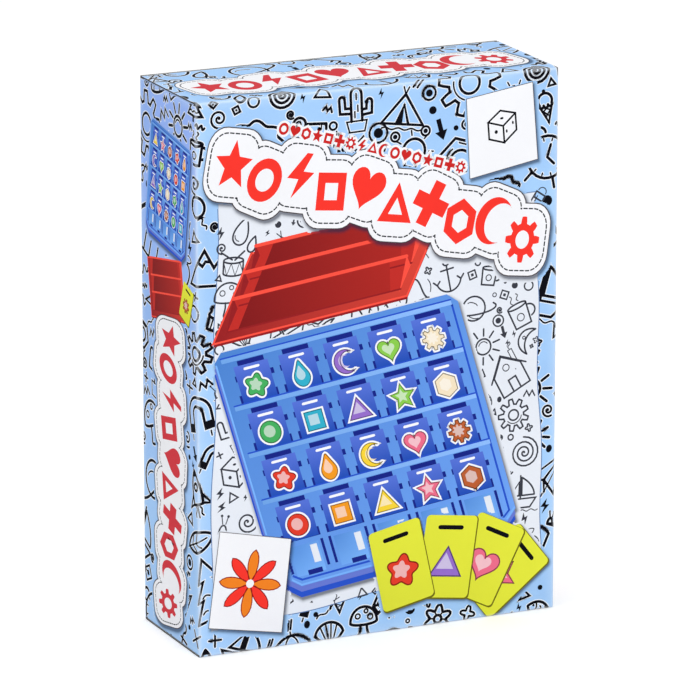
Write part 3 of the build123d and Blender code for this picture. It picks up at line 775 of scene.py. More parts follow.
drawings = {
    "sun": doodle([arc(0, 0, 42), *rays(0, 0, 58, 95, 10)], [arc(0, 0, 27, start=20, end=150)]),
    "cloud": doodle(
        [petals(0, 0, 72, 7, 0.12) * (1.15, 0.72)],
        [arc(-15, 0, 34, 20, 30, 170), arc(30, -12, 20, 12, 0, 150)]),
    "umbrella": doodle(
        [arc(0, 0, 85, 75, 0, 180), arc(-57, 0, 28, 16, 0, 180), arc(0, 0, 28, 16, 0, 180),
         arc(57, 0, 28, 16, 0, 180), path(0, 16, 0, -72), arc(14, -72, 14, start=180, end=340, steps=10)],
        [*mirrored(curve(0, 75, -30, 60, -30, 30, -29, 2)), path(0, 75, 0, 92)]),
    "balloon": doodle(
        [arc(0, 35, 48, 58), path(-10, -30, 0, -22, 10, -30, -10, -30)],
        [wave(0, -30, 10, -100, 1.5, 8), arc(-8, 42, 28, 36, 110, 170, 8)]),
    "fish": doodle(
        [curve(-90, 0, -40, 75, 30, 50, 55, 0), curve(-90, 0, -40, -75, 30, -50, 55, 0),
         path(55, 0, 95, 42, 85, 0, 95, -42, 55, 0)],
        [arc(-65, 0, 30, 40, -50, 50, 10), arc(-20, 10, 14, 14, -80, 80, 8), arc(2, -12, 14, 14, -80, 80, 8),
         arc(12, 14, 14, 14, -80, 80, 8)],
        [arc(-58, 14, 7, steps=10)]),
    "leaf": doodle(
        [curve(-80, -70, -90, 40, 10, 90, 85, 80), curve(-80, -70, 30, -90, 90, 0, 85, 80)],
        [path(-100, -95, 55, 52), path(-45, -40, -50, 15), path(-10, -8, -15, 45), path(-45, -40, 15, -45),
         path(-10, -8, 45, -10)]),
    "flower": doodle(
        [petals(0, 32, 50, 6, 0.26), arc(0, 32, 17), curve(0, -30, 10, -50, -5, -80, 5, -100)],
        [curve(2, -65, 30, -40, 50, -50, 60, -35), curve(2, -65, 30, -80, 55, -60, 60, -35),
         *rays(0, 32, 22, 34, 6, 30)]),
    "paper_plane": doodle(
        [path(-95, 15, 95, 75, 10, -85, -20, -10, -95, 15), path(-20, -10, 95, 75, -30, -60, -20, -10)],
        [wave(-95, -90, -40, -65, 1, 6, 14)]),
    "mug": doodle(
        [path(-70, 35, -62, -80, 30, -80, 38, 35), arc(-16, 35, 54, 13), arc(38, -15, 36, 33, -80, 80, 14)],
        [wave(-35, 55, -35, 100, 1, 7, 14), wave(2, 60, 2, 100, 1, 7, 14), arc(-16, -30, 20, 20)]),
    "key": doodle(
        [arc(-55, 30, 36), path(-24, 12, 80, -50), path(80, -50, 66, -75), path(52, -34, 36, -62)],
        [arc(-60, 33, 15)]),
    "bulb": doodle(
        [arc(0, 25, 50, 52, -55, 235), path(-28, -18, -24, -45, 24, -45, 28, -18)],
        [path(-22, -58, 22, -52), path(-20, -72, 20, -66), wave(-18, 10, 18, 10, 2.5, 10, 20),
         *rays(0, 25, 68, 88, 7, 12)],
        [arc(0, -80, 12, 8, 180, 360, 8)]),
    "rocket": doodle(
        [*mirrored(curve(-28, -45, -42, 30, -20, 75, 0, 100)), path(-28, -45, 28, -45),
         *mirrored(path(-33, -5, -65, -55, -28, -42)), arc(0, 28, 15)],
        [wave(-12, -55, -20, -95, 1, 4, 10), path(0, -55, 0, -100), wave(12, -55, 20, -95, 1, 4, 10)],
        [path(-20, 72, 0, 100, 20, 72)]),
    "planet": doodle(
        [arc(0, 0, 50), moved(arc(0, 0, 98, 26, 152, 388), turn=22)],
        [arc(-10, 12, 22, 10, 20, 170), arc(10, -30, 22, 8, 190, 350), arc(70, 75, 8)]),
    "mushroom": doodle(
        [curve(-80, 0, -75, 115, 75, 115, 80, 0, steps=24), arc(0, 0, 80, 18, 180, 360),
         *mirrored(curve(-20, -16, -16, -50, -30, -70, -30, -85)), arc(0, -85, 30, 10, 180, 360, 10)],
        [arc(-35, 35, 14), arc(15, 60, 11), arc(40, 25, 15)]),
    "house": doodle(
        [path(-65, -80, -65, 15, 0, 80, 65, 15, 65, -80, -65, -80), path(-85, 0, 0, 85, 85, 0),
         path(-15, -80, -15, -25, 20, -25, 20, -80)],
        [path(34, 0, 34, -2), arc(0, 28, 14), path(38, 48, 38, 85, 56, 85, 56, 30),
         wave(47, 90, 60, 115, 1, 5, 10)]),
    "kite": doodle(
        [path(0, 95, -50, 30, 0, -45, 50, 30, 0, 95), path(0, 95, 0, -45), path(-50, 30, 50, 30)],
        [wave(0, -45, 50, -105, 1.5, 10), path(10, -75, 30, -55), path(35, -100, 50, -80)],
        [path(0, 95, 0, 30, -50, 30)]),
    "ice_cream": doodle(
        [path(-38, 5, 0, -95, 38, 5), arc(0, 30, 42, 42, -30, 210), arc(-26, 3, 13, 10, 170, 370, 8),
         arc(0, 0, 13, 10, 170, 370, 8), arc(26, 3, 13, 10, 170, 370, 8)],
        [*mirrored(path(-24, -30, 16, -5), path(-12, -62, 28, -20))],
        [arc(2, 84, 11, steps=12)]),
    "apple": doodle(
        [*mirrored(curve(0, 35, -35, 65, -95, 45, -70, -25), curve(-70, -25, -50, -85, -20, -85, 0, -72)),
         curve(0, 35, 2, 60, 8, 75, 18, 85)],
        [curve(10, 60, 20, 95, 55, 95, 70, 80), curve(10, 60, 35, 50, 60, 60, 70, 80),
         arc(-35, 5, 20, 30, 110, 200, 8)]),
    "cactus": doodle(
        [arc(0, 55, 24, 30, 0, 180, 14), *mirrored(path(-24, 55, -24, -55)), path(-24, 0, -50, 2, -52, 40),
         path(-24, -22, -74, -18, -76, 40), arc(-64, 40, 12, 12, 0, 180, 8), path(24, -10, 44, -8, 46, 20),
         path(24, -32, 68, -28, 70, 20), arc(58, 20, 12, 12, 0, 180, 8)],
        [path(-45, -55, 45, -55, 34, -100, -34, -100, -45, -55), path(0, 60, 0, 35), path(6, 10, 6, -15),
         path(-8, -15, -8, -40)]),
    "fir": doodle(
        [path(-30, 40, 0, 100, 30, 40, 15, 42, 48, -8, 30, -6, 66, -62, -66, -62, -30, -6, -48, -8, -15, 42,
              -30, 40)],
        [wave(-30, 0, 30, 5, 1.5, 5, 18), wave(-42, -40, 42, -35, 2, 5, 24)],
        [path(-10, -62, 10, -62, 10, -95, -10, -95)]),
    "pencil": doodle(
        [path(-75, -85, -85, -45, 40, 80, 72, 48, -50, -75, -75, -85), path(22, 62, 55, 30),
         path(-85, -45, -62, -50, -50, -75)],
        [path(-68, -48, 40, 60), arc(62, 70, 18, 18, -45, 135, 10)],
        [path(-75, -85, -79, -70, -62, -80)]),
    "bell": doodle(
        [*mirrored(curve(-65, -50, -30, -20, -55, 70, 0, 72)), path(-72, -50, 72, -50),
         arc(0, 82, 10, steps=12)],
        [arc(0, 10, 95, 80, 155, 205, 8), arc(0, 10, 95, 80, -25, 25, 8)],
        [arc(0, -60, 17, 16, 180, 360, 10)]),
    "anchor": doodle(
        [arc(0, 78, 17), path(0, 60, 0, -80), path(-36, 38, 36, 38), arc(0, -10, 70, 70, 195, 345),
         *mirrored(path(-86, -10, -68, -30, -50, -12))]),
    "tent": doodle(
        [path(-95, -60, 0, 65, 95, -60, -95, -60), path(-28, -60, 0, 20, 28, -60)],
        [*mirrored(path(0, 65, 12, 95)), wave(-90, -80, 90, -80, 3, 4)],
        [path(-28, -60, 0, 20, 0, -60)]),
    "peaks": doodle(
        [path(-100, -60, -35, 55, 0, -2, 30, 40, 95, -60, -100, -60),
         path(-56, 18, -40, 5, -30, 20, -12, 18)],
        [arc(62, 72, 20), *rays(62, 72, 28, 38, 7), path(10, -60, 35, 0, 50, -30)]),
    "cupcake": doodle(
        [path(-50, -15, -36, -85, 36, -85, 50, -15), petals(0, 12, 50, 5, 0.12) * (1.12, 0.75)],
        [path(-22, -30, -17, -80), path(2, -30, 1, -80), path(25, -30, 18, -80)],
        [arc(0, 62, 13, steps=14)]),
    "boat": doodle(
        [path(-90, -30, 90, -30, 55, -78, -55, -78, -90, -30), path(0, -30, 0, 95),
         curve(8, 85, 65, 50, 80, 10, 80, -12), path(80, -12, 8, -12, 8, 85),
         path(-8, 60, -60, -12, -8, -12, -8, 60)],
        [wave(-100, -95, 100, -95, 4, 5, 48)]),
    "spiral": doodle([spiral(85, 3.2)]),
    "snail": doodle(
        [moved(spiral(50, 2.2), (15, 15)), curve(-95, -50, -30, -35, 20, -42, 95, -55),
         path(-95, -50, 95, -55), curve(-95, -50, -100, -10, -72, 0, -65, -40)],
        [path(-88, -10, -100, 20), path(-75, -8, -72, 22)],
        [arc(-100, 22, 6, steps=8), arc(-72, 24, 6, steps=8)]),
    "cube": doodle(
        [path(-75, 35, -75, -50, 5, -85, 5, 0, -75, 35, -5, 80, 75, 50, 75, -35, 5, -85), path(5, 0, 75, 50)],
        (),
        [arc(-35, -22, 9, 10, steps=10), arc(22, -30, 5, 9, steps=10), arc(58, 5, 5, 9, steps=10),
         arc(0, 40, 10, 6, steps=10)]),
    "clock": doodle(
        [arc(0, 0, 70), path(0, 0, 0, 42), path(0, 0, 30, -15), *mirrored(path(-40, -62, -55, -90)),
         arc(-50, 66, 22, 22, 30, 240, 12), arc(50, 66, 22, 22, -60, 150, 12)],
        [*rays(0, 0, 55, 62, 12)]),
    "cog": doodle([cog(72, 14, 9), arc(0, 0, 28)], [arc(0, 0, 45, start=200, end=330)]),
    "moon": doodle(
        [curve(20, 90, -110, 80, -110, -80, 20, -90), curve(20, 90, -40, 40, -40, -40, 20, -90)],
        [petals(50, 20, 16, 4, 0.45), petals(35, -30, 10, 4, 0.45), arc(-42, 10, 10)]),
    "magnet": doodle(
        [arc(0, 10, 70, 70, 0, 180), arc(0, 10, 32, 32, 0, 180),
         *mirrored(path(-70, 10, -70, -60, -32, -60, -32, 10))],
        [*mirrored(path(-52, -75, -52, -95))],
        [*mirrored(path(-70, -30, -32, -30, -32, -60, -70, -60))]),
    "drum": doodle(
        [arc(0, 40, 70, 20), *mirrored(path(-70, 40, -70, -45)), arc(0, -45, 70, 20, 180, 360),
         path(-90, 95, -10, 45), path(75, 100, 10, 42)],
        [path(-70, 30, -45, -60, -15, 20, 15, -63, 45, 25, 70, -40)]),
    "shell": doodle(
        [arc(0, -10, 85, 80, 10, 170), path(-84, 5, -20, -70, 20, -70, 84, 5),
         arc(0, -75, 22, 12, 180, 360, 10)],
        [path(-10, -65, -50, 50), *mirrored(path(-3, -65, -17, 68)), path(10, -65, 50, 50)]),
    "bolt_nut": doodle(
        [polygon(0, 0, 80, 6), arc(0, 0, 38)],
        [arc(0, 0, 52, start=110, end=240, steps=12), path(10, 62, 50, 38)]),
    "drops": doodle(
        [curve(-20, 90, -90, -20, -50, -60, -20, -60), curve(-20, 90, 50, -20, 10, -60, -20, -60),
         curve(60, 10, 25, -45, 40, -75, 60, -75), curve(60, 10, 95, -45, 80, -75, 60, -75)],
        [arc(-22, -15, 26, 26, 190, 280, 8)]),
}
fillers = [
    doodle([arc(0, 0, 70, steps=16)]),
    doodle([], (), [arc(0, 0, 50, steps=14)]),
    doodle([path(-80, 0, 80, 0), path(0, -80, 0, 80)]),
    doodle([path(-90, -40, -45, 40, 0, -40, 45, 40, 90, -40)]),
    doodle([wave(-100, 0, 100, 0, 2, 35, 26)]),
    doodle([polygon(0, 0, 85, 3)]),
    doodle([petals(0, 0, 70, 4, 0.4, 40)]),
    doodle([path(-60, -80, 20, 80), path(-5, -80, 75, 80)]),
    doodle([polygon(0, 0, 80, 4)], (), [polygon(0, 0, 30, 4)]),
    doodle([spiral(85, 1.8, 30)]),
    doodle([], (), [path(20, 100, -60, -10, -5, -10, -35, -100, 60, 20, 10, 20)]),
    doodle([], (), [path(0, -100, -60, -15, -22, -15, -22, 95, 22, 95, 22, -15, 60, -15)]),
    doodle([], (), [arc(0, 0, 60, 75, steps=16)]),
    doodle([arc(0, 0, 85, steps=18)], (), [arc(0, 0, 45, steps=14)]),
]
MOST_TURN, OVER_SIZE = 28, 1.08            # degrees either way, and drawn size over the room it keeps


def place_doodle(drawing, place, size, turn, layer, ink, bold, fine, halo):
    """Prints a drawing: its lines with a pale edge, if any, one layer under its ink."""
    for part, width in (("bold", bold), ("fine", fine)):
        for points in drawing[part]:
            points = moved(points, place, size, turn)
            if halo:
                blank.line(points, width + 2 * halo, PALE, layer)
            blank.line(points, width, ink, layer + 1)
    for points in drawing["solid"]:
        blank.area(moved(points, place, size, turn), ink, layer + 1)


def strew(random, low, high, sizes, blocked, taken, choices, gap=0.4, throws=1500):
    """Places for drawings, by throwing: each keeps its radius clear of those before it and of blocked boxes.

    random is a seeded generator, and taken is the list of (x, y, radius) so far, which grows.
    """
    places = []
    for size in sizes:
        spots = low + random.random((throws, 2)) * (np.array(high) - low)
        turn = random.uniform(-MOST_TURN, MOST_TURN)
        free = np.ones(throws, bool)
        for x0, y0, x1, y1 in blocked:
            inside = (spots > (x0 - size / 2, y0 - size / 2)) & (spots < (x1 + size / 2, y1 + size / 2))
            free &= ~inside.all(1)
        if taken:
            x, y, radius = np.array(taken).T
            apart = np.hypot(spots[:, :1] - x, spots[:, 1:] - y) - radius
            free &= apart.min(1) > size + gap
        if free.any():
            spot = spots[free.argmax()]
            taken.append((*spot, size))
            places.append((choices[len(places) % len(choices)], spot, size * OVER_SIZE, turn))
    return places

# --- Doodled ground -------------------------------------------------------------------------------
# The blue ground of every panel is strewn with the drawings from a fixed seed, big ones first, then small
# fillers in the gaps. The middle of the front and of the back are left out, because white paper covers
# them.

GROUND_SEED = 41
BLUE_BOLD, BLUE_FINE = 1.4, 0.85           # lines of the drawings
FILLER_BOLD, FILLER_FINE = 1.1, 0.75
FILLER_SIZES, FILLER_GAP, FILLER_THROWS = [5.0] * 90 + [3.6] * 150 + [2.4] * 200, 0.3, 400
BACK_LEFT = -DEEP - WIDE                   # where the back panel starts on the blank
FRONT_PAPER = (16, 32, 166, 196)
BACK_PAPER = (BACK_LEFT + 22, 30, -DEEP - 22, 222)
random = np.random.default_rng(GROUND_SEED)
order = sorted(drawings)
random.shuffle(order)
every_drawing = [drawings[name] for name in order]
taken = []
wall_sizes = [17.0] * 5 + [13.5] * 16 + [10.5] * 40
for low, high, blocked, sizes in (
        ((-4, -6), (WIDE + DEEP, HIGH + DEEP), [FRONT_PAPER], wall_sizes + [8.0] * 70),
        ((BACK_LEFT, -6), (-4, HIGH + 4), [BACK_PAPER], wall_sizes + [8.0] * 60),
        ((0, -DEEP), (WIDE, -8), [], [13.0] * 6 + [10.0] * 16 + [7.5] * 24)):
    for spot in strew(random, low, high, sizes, blocked, taken, every_drawing):
        place_doodle(*spot, 0, BLACK, BLUE_BOLD, BLUE_FINE, HALO)
    for spot in strew(random, low, high, FILLER_SIZES, blocked, taken, fillers, FILLER_GAP, FILLER_THROWS):
        place_doodle(*spot, 0, BLACK, FILLER_BOLD, FILLER_FINE, HALO)

# --- White papers ---------------------------------------------------------------------------------
# Behind the pictures lies a printed sheet of white paper with wavy cut edges and thin grey doodles. The
# back has one as well.

PAPER_WHITE, PAPER_EDGE, GREY = printed(233, 238, 247), printed(96, 126, 176), printed(58, 60, 70)
PAPER_LAYER, PAPER_WAVES, PAPER_SWING = 2, 2.5, 0.8
PAPER_FILLERS = [3.0] * 110 + [1.8] * 170
PAPER_BOLD, PAPER_SMALL, PAPER_FINE = 0.85, 0.75, 0.5  # lines of the drawings, of the fillers, and of both


def ring_of(*parts):
    """Closes runs of points into one outline."""
    points = np.concatenate(parts)
    return np.vstack([points, points[:1]])


def place_paper(corners, sizes, low, high, seed):
    """Paper with waves cut along its four edges, and its own doodles in grey."""
    ends = corners[1:] + corners[:1]
    outline = ring_of(*[wave(*a, *b, PAPER_WAVES, PAPER_SWING, 40)[:-1] for a, b in zip(corners, ends)])
    blank.line(outline, 0.9, PAPER_EDGE, PAPER_LAYER)
    blank.area(outline, PAPER_WHITE, PAPER_LAYER + 1)
    random, taken = np.random.default_rng(seed), []
    for spot in strew(random, low, high, sizes, [], taken, every_drawing, 0.2):
        place_doodle(*spot, PAPER_LAYER + 1, GREY, PAPER_BOLD, PAPER_FINE, 0)
    for spot in strew(random, low, high, PAPER_FILLERS, [], taken, fillers, FILLER_GAP, FILLER_THROWS):
        place_doodle(*spot, PAPER_LAYER + 1, GREY, PAPER_SMALL, PAPER_FINE, 0)


place_paper([(6, 12), (178, 28), (173, 206), (11, 217)], [11.0] * 16 + [8.5] * 44 + [6.5] * 60, (11, 20),
            (171, 205), 7)
place_paper([(BACK_LEFT + x, y) for x, y in ((10, 20), (174, 14), (170, 232), (14, 238))],
            [12.5] * 14 + [10.0] * 50 + [7.5] * 70, (BACK_LEFT + 17, 28), (BACK_LEFT + 167, 226), 8)

# --- Tokens ---------------------------------------------------------------------------------------
# The game's pictures are plain tokens: ten shapes in two colours each, every one a flat colour with a dark
# outline and a pale middle. The same twenty stand on the printed doors, the printed cards, the real doors
# and the deck.

TOKEN_LIGHT, TOKEN_DARK = 0.45, -0.72      # shades of its middle and its outline
TOKEN_MIDDLE = ((-0.06, 0.06), 0.55)       # place and size of the pale middle


def drop(radius):
    """Closed drop: x = R*sin(a)*(1 - 0.35*(1 + cos(a))), and y = R*(0.85*cos(a) + 0.3*cos(a)^3)."""
    angle = np.linspace(0, 2 * math.pi, 40)
    pinch = np.sin(angle) * (1 - 0.35 * (1 + np.cos(angle)))
    return radius * np.stack([pinch, 0.85 * np.cos(angle) + 0.3 * np.cos(angle)**3], 1)


def star(outer, inner, count):
    """Closed star: its corners stand by turns on an outer and an inner ring."""
    corner = np.arange(2 * count + 1)
    angle = np.radians(90 + corner * 180 / count)
    return np.where(corner % 2, inner, outer)[:, None] * np.stack([np.cos(angle), np.sin(angle)], 1)


def crescent(radius):
    """Closed crescent: most of a circle and a shallower arc back."""
    return ring_of(arc(0, 0, radius, start=50, end=310, steps=30),
                   arc(0.36 * radius, 0, 0.83 * radius, start=292, end=68, steps=24))


def heart(radius):
    """Closed heart: x = R*sin(a)^3, and y = R*(0.81*cos(a) - 0.31*cos(2a) - 0.13*cos(3a) - 0.06*cos(4a))."""
    angle = np.linspace(0, 2 * math.pi, 41)
    waves = np.cos(np.outer(angle, (1, 2, 3, 4)))
    rise = waves @ (0.81, -0.31, -0.13, -0.06)
    return radius * np.stack([np.sin(angle)**3, rise + 0.1], 1)


token_outlines = [arc(0, 0, 0.82), polygon(0, 0, 1.0, 4, 45), polygon(0, -0.2, 1.05, 3), star(1.0, 0.48, 5),
                  polygon(0, 0, 0.92, 6), petals(0, 0, 0.76, 5, 0.2), drop(0.86), crescent(0.9), heart(0.9),
                  cog(0.74, 0.13, 8)]
warm = [printed(228, 62, 44), printed(246, 156, 36), printed(250, 214, 60), printed(238, 110, 140),
        printed(190, 96, 52)]
cool = [printed(70, 176, 96), printed(52, 176, 204), printed(150, 110, 204), printed(140, 206, 80),
        printed(245, 228, 196)]
tokens = [(outline, colours[number % 5]) for colours in (warm, cool)
          for number, outline in enumerate(token_outlines)]


def shaded(colour, share):
    """The colour taken that share of the way to white, or to black where the share is negative."""
    end = 1.0 if share > 0 else 0.0
    return (*(c + abs(share) * (end - c) for c in colour[:3]), 1.0)


def sheet(origin, across, up):
    """A picture's plane: takes points in shares of the two directions to the blank."""
    directions = np.array([across, up], float)
    return lambda points: np.array(origin, float) + np.asarray(points, float) @ directions


def place_token(plane, number, layer, line, white=0.0, onto=blank):
    """Prints a token on its plane: white edge, dark outline, colour and pale middle, over three layers."""
    outline, colour = tokens[number % len(tokens)]
    if white:
        onto.line(plane(outline), white, WHITE, layer)
    onto.area(plane(outline), colour, layer + 1)
    onto.area(plane(moved(outline, *TOKEN_MIDDLE)), shaded(colour, TOKEN_LIGHT), layer + 2)
    onto.line(plane(outline), line, shaded(colour, TOKEN_DARK), layer + 2)


# --- Pictures of the game -------------------------------------------------------------------------
# The front and the narrow sides show the game itself: the blue board laid open with a token on each door,
# the red board from behind with its three troughs, and a fan of yellow cards.

BOARD_FACE, BOARD_LIGHT, BOARD_SIDE = printed(92, 156, 246), printed(124, 182, 254), printed(42, 84, 204)
DOOR_FACE, SLOT_DARK = printed(38, 92, 214), printed(24, 38, 134)
RACK_LIGHT, RACK_FACE, RACK_DARK = printed(252, 82, 66), printed(206, 50, 44), printed(150, 32, 36)
CARD_YELLOW, CARD_EDGE = printed(232, 236, 64), printed(112, 108, 24)
ROWS, COLUMNS = 4, 5
FIRST_ROW, ROW_DEPTH = 0.165, 0.209        # of the printed board, in shares of its length
CARD_DROP, CARD_SPREAD = (0.35, -0.45), 1.02  # a printed card's edge, beside its face
FAN_CARD, FAN_LAYER = 13.5, 14             # half width of a card, and what the fan lies on


def box(left, low, right, high):
    """Closed rectangle."""
    return path(left, low, right, low, right, high, left, high, left, low)


def picture_board(origin, along, away, drop_by, layer, line, first=0):
    """Board of four rows of five doors, lying: a slab with cut corners, a slotted floor and the doors."""
    flat = sheet(origin, along, away)

    def slot(left, low, right, high, over=3, ink=SLOT_DARK):
        """One box of ink on the board, that many layers over its first."""
        blank.area(flat(box(left, low, right, high)), ink, layer + over)

    def faded(start, end, first_ink, last_ink):
        """Ink that fades from one point of the board to another."""
        return fade(*flat([start, end]), first_ink, last_ink)

    slab = path(-0.05, 0.05, 0.04, -0.03, 0.96, -0.03, 1.05, 0.05, 1.05, 0.99, 1.01, 1.03, -0.01, 1.03,
                -0.05, 0.99, -0.05, 0.05)
    blank.shadow([flat(slab), flat(slab) - (0, drop_by)], layer - 1)
    blank.area(flat(slab) - (0, drop_by), BOARD_SIDE, layer)
    blank.area(flat(slab) - (0, drop_by / 2), shaded(BOARD_SIDE, 0.12), layer + 1)
    blank.area(flat(slab), faded((0, 1), (0.6, 0), shaded(BOARD_FACE, -0.3), shaded(BOARD_FACE, 0.06)),
               layer + 2)
    blank.line(flat(path(-0.02, 0.15, -0.02, 0.05, 0.05, -0.003, 0.95, -0.003, 1.02, 0.05, 1.02, 0.98)),
               1.2 * line, BOARD_SIDE, layer + 3)
    blank.line(flat(path(-0.045, 0.98, -0.045, 0.055, 0.042, -0.024, 0.958, -0.024, 1.045, 0.055)),
               line, BOARD_LIGHT, layer + 4)
    for column in range(COLUMNS):
        left = column / COLUMNS
        slot(left + 0.035, 0.012, left + 0.165, 0.145, 3,
             faded((left, 0.15), (left + 0.1, 0), shaded(BOARD_FACE, -0.25), BOARD_LIGHT))
        for at in (0.012, 0.176):
            slot(left + at, 0.03, left + at + 0.012, 0.15)
        slot(left + 0.125, 0.055, left + 0.155, 0.135, 4, PAPER_WHITE)
        slot(left + 0.085, 0.008, left + 0.15, 0.03, 4)
    for row in range(ROWS):
        low = FIRST_ROW + ROW_DEPTH * row
        slot(-0.02, low + 0.19, 1.02, low + ROW_DEPTH, 3,
             faded((0, low), (1, low), shaded(BOARD_LIGHT, -0.18), shaded(BOARD_LIGHT, 0.1)))
        blank.line(flat(path(-0.02, low + 0.212, 1.02, low + 0.212)), 0.9 * line, BOARD_SIDE, layer + 4)
        for column in range(COLUMNS):
            middle = 0.1 + column / COLUMNS
            slot(middle - 0.055, low + 0.158, middle + 0.062, low + 0.187)
            slot(middle - 0.082, low + 0.1, middle + 0.09, low + 0.125)
            slot(middle - 0.086, low + 0.002, middle + 0.084, low + 0.04)
            slot(middle - 0.076, low + 0.004, middle + 0.076, low + 0.166, 4,
                 faded((middle, low), (middle + 0.03, low + 0.166), shaded(DOOR_FACE, -0.3),
                       shaded(DOOR_FACE, 0.08)))
            bar = flat(path(middle - 0.03, low + 0.148, middle + 0.03, low + 0.148))
            blank.line(bar, 1.5 * line, WHITE, layer + 5)
            plane = sheet(flat([(middle, low + 0.068)])[0], 0.056 * np.array(along), 0.058 * np.array(away))
            place_token(plane, first + COLUMNS * row + column, layer + 5, 0.55 * line, 2.6 * line)


def picture_rack(origin, along, away, high, layer, line):
    """Board from behind: a flat base, and three sloping walls across it with bright rims and gussets."""
    flat, up = sheet(origin, along, away), np.array([0.0, high])
    base = box(-0.06, -0.1, 1.06, 1.04)
    blank.area(flat(base) - (0, 1.6 * line), RACK_DARK, layer)
    blank.area(flat(base), fade(*flat([(0, 0), (1, 1)]), RACK_DARK, shaded(RACK_LIGHT, -0.2)), layer + 1)
    blank.line(flat(base), line, RACK_LIGHT, layer + 2)
    for number in (2, 1, 0):
        over = layer + 7 - 2 * number
        low, top = number / 3 + 0.02, number / 3 + 0.2
        foot, rim = flat([(0, low), (1, low)]), flat([(0, top), (1, top)]) + up
        wall = np.array([foot[0], foot[1], rim[1], rim[0], foot[0]])
        hollow = np.array([0.94 * foot[0] + 0.06 * foot[1], 0.06 * foot[0] + 0.94 * foot[1],
                           0.1 * rim[0] + 0.9 * rim[1] - 0.12 * up, 0.9 * rim[0] + 0.1 * rim[1] - 0.12 * up])
        blank.area(wall, shaded(RACK_FACE, -0.12), over)
        blank.area(ring_of(hollow), fade(foot[0], rim[1], shaded(RACK_DARK, -0.35), shaded(RACK_FACE, -0.25)),
                   over + 1)
        for end in (0, 1):
            side = flat([(end, low - 0.04), (end, low + 0.3)])
            gusset = np.array([side[0], side[1], rim[end] + 0.04 * up, side[0]])
            blank.area(gusset, RACK_LIGHT if end else RACK_DARK, over + 1)
        blank.line(rim, 1.7 * line, RACK_LIGHT, over + 2)
        blank.line(foot, 0.8 * line, RACK_DARK, over + 2)


def rounded_box(half_across, half_high, radius):
    """Closed rectangle with round corners about the middle."""
    corners = [(1, 1, 0), (-1, 1, 90), (-1, -1, 180), (1, -1, 270)]
    return ring_of(*[arc(x * (half_across - radius), y * (half_high - radius), radius, start=start,
                         end=start + 90, steps=7) for x, y, start in corners])


def picture_card(place, half, turn, number, layer):
    """Yellow card with round corners, a token, and a black bar where a card has its caption."""
    card = rounded_box(half, 1.5 * half, 0.16 * half)
    blank.area(moved(card, np.array(place) + CARD_DROP, CARD_SPREAD, turn), CARD_EDGE, layer)
    face = moved(card, place, 1, turn)
    blank.area(face, fade(face[0], face[14], CARD_YELLOW, shaded(CARD_YELLOW, -0.1)), layer + 1)
    c, s = math.cos(math.radians(turn)), math.sin(math.radians(turn))
    across, up = half * np.array([c, s]), half * np.array([-s, c])
    plane = sheet(place, across, up)
    blank.line(plane([(-0.42, 1.06), (0.42, 1.06)]), 0.16 * half, BLACK, layer + 2)
    token = sheet(plane([(0, -0.22)])[0], 0.68 * across, 0.68 * up)
    outline, colour = tokens[number]
    blank.area(token(outline), colour, layer + 2)
    blank.line(token(outline), 0.05 * half, shaded(colour, TOKEN_DARK), layer + 3)
    blank.area(token(moved(outline, *TOKEN_MIDDLE)), shaded(colour, TOKEN_LIGHT), layer + 3)


picture_rack((15, 155), (88, 11), (17, 36), 9, 5, 1.0)
picture_board((47, 31), (113, 15), (-33, 112), 5.5, 6, 0.85)
fan = [((158, 22), -52, 3), ((148, 29), -27, 8), ((128, 33), -8, 12), ((104, 32), 12, 5)]
fan_card = rounded_box(FAN_CARD, 1.5 * FAN_CARD, 2.2)
blank.shadow([moved(fan_card, place, 1.0, turn) for place, turn, _ in fan], FAN_LAYER)
for number, (place, turn, token) in enumerate(fan):
    picture_card(place, FAN_CARD, turn, token, FAN_LAYER + 1 + 3 * number)
picture_board((-DEEP + 8, 196), (42, -6), (8, 50), 2.2, 5, 0.42, 7)
picture_rack((-DEEP + 14, 155), (36, 6), (-4, 24), 4.5, 5, 0.5)
picture_card((-12, 168), 6, -20, 9, 14)
picture_board((WIDE + 12, 196), (42, 6), (4, 50), 2.2, 5, 0.42, 3)
picture_rack((WIDE + 12, 160), (38, -6), (6, 24), 4.5, 5, 0.5)
picture_card((WIDE + 13, 176), 6, 24, 14, 14)

# --- Stickers -------------------------------------------------------------------------------------
# White stickers with a dark edge and stitching carry bold red figures where a game has its name. A small
# tile, a row of red marks and a tilted tile with a pinwheel finish the front.

STICKER_EDGE, STICKER_WHITE, STITCH = printed(70, 62, 66), printed(246, 247, 251), printed(40, 44, 50)
NAME_RED, DEEP_RED = printed(250, 56, 46), printed(212, 58, 68)
MARK_RED, WARM_ORANGE = printed(204, 40, 38), printed(244, 132, 36)
STICKER_LAYER = 14
STICKER_MARGIN, EDGE_MARGIN = 0.42, 0.4    # of white in figure radii, and of its edge in mm beyond
STITCH_MARGIN, STITCH_DASH, STITCH_SPACE, STITCH_WIDTH = 0.24, 0.17, 0.1, 0.062  # in figure radii
bolt = path(0.15, 1, -0.75, -0.15, -0.1, -0.15, -0.35, -1, 0.75, 0.2, 0.12, 0.2, 0.5, 1, 0.15, 1)
plus = path(1, 0.33, 0.33, 0.33, 0.33, 1)
cross = [moved(plus, turn=90 * quarter) for quarter in range(4)]
figures = [(star(1.1, 0.5, 5), ()), (arc(0, 0, 0.95), (arc(0, 0, 0.5),)), (bolt, ()),
           (polygon(0, 0, 1.15, 4, 45), (polygon(0, 0, 0.52, 4, 45),)), (heart(1.0), ()),
           (polygon(0, -0.15, 1.15, 3), (polygon(0, -0.15, 0.48, 3),)), (ring_of(*cross), ()),
           (polygon(0, 0, 1.0, 6), (polygon(0, 0, 0.5, 6),)), (crescent(1.05), ()),
           (cog(0.86, 0.15, 8), (arc(0, 0, 0.4),))]
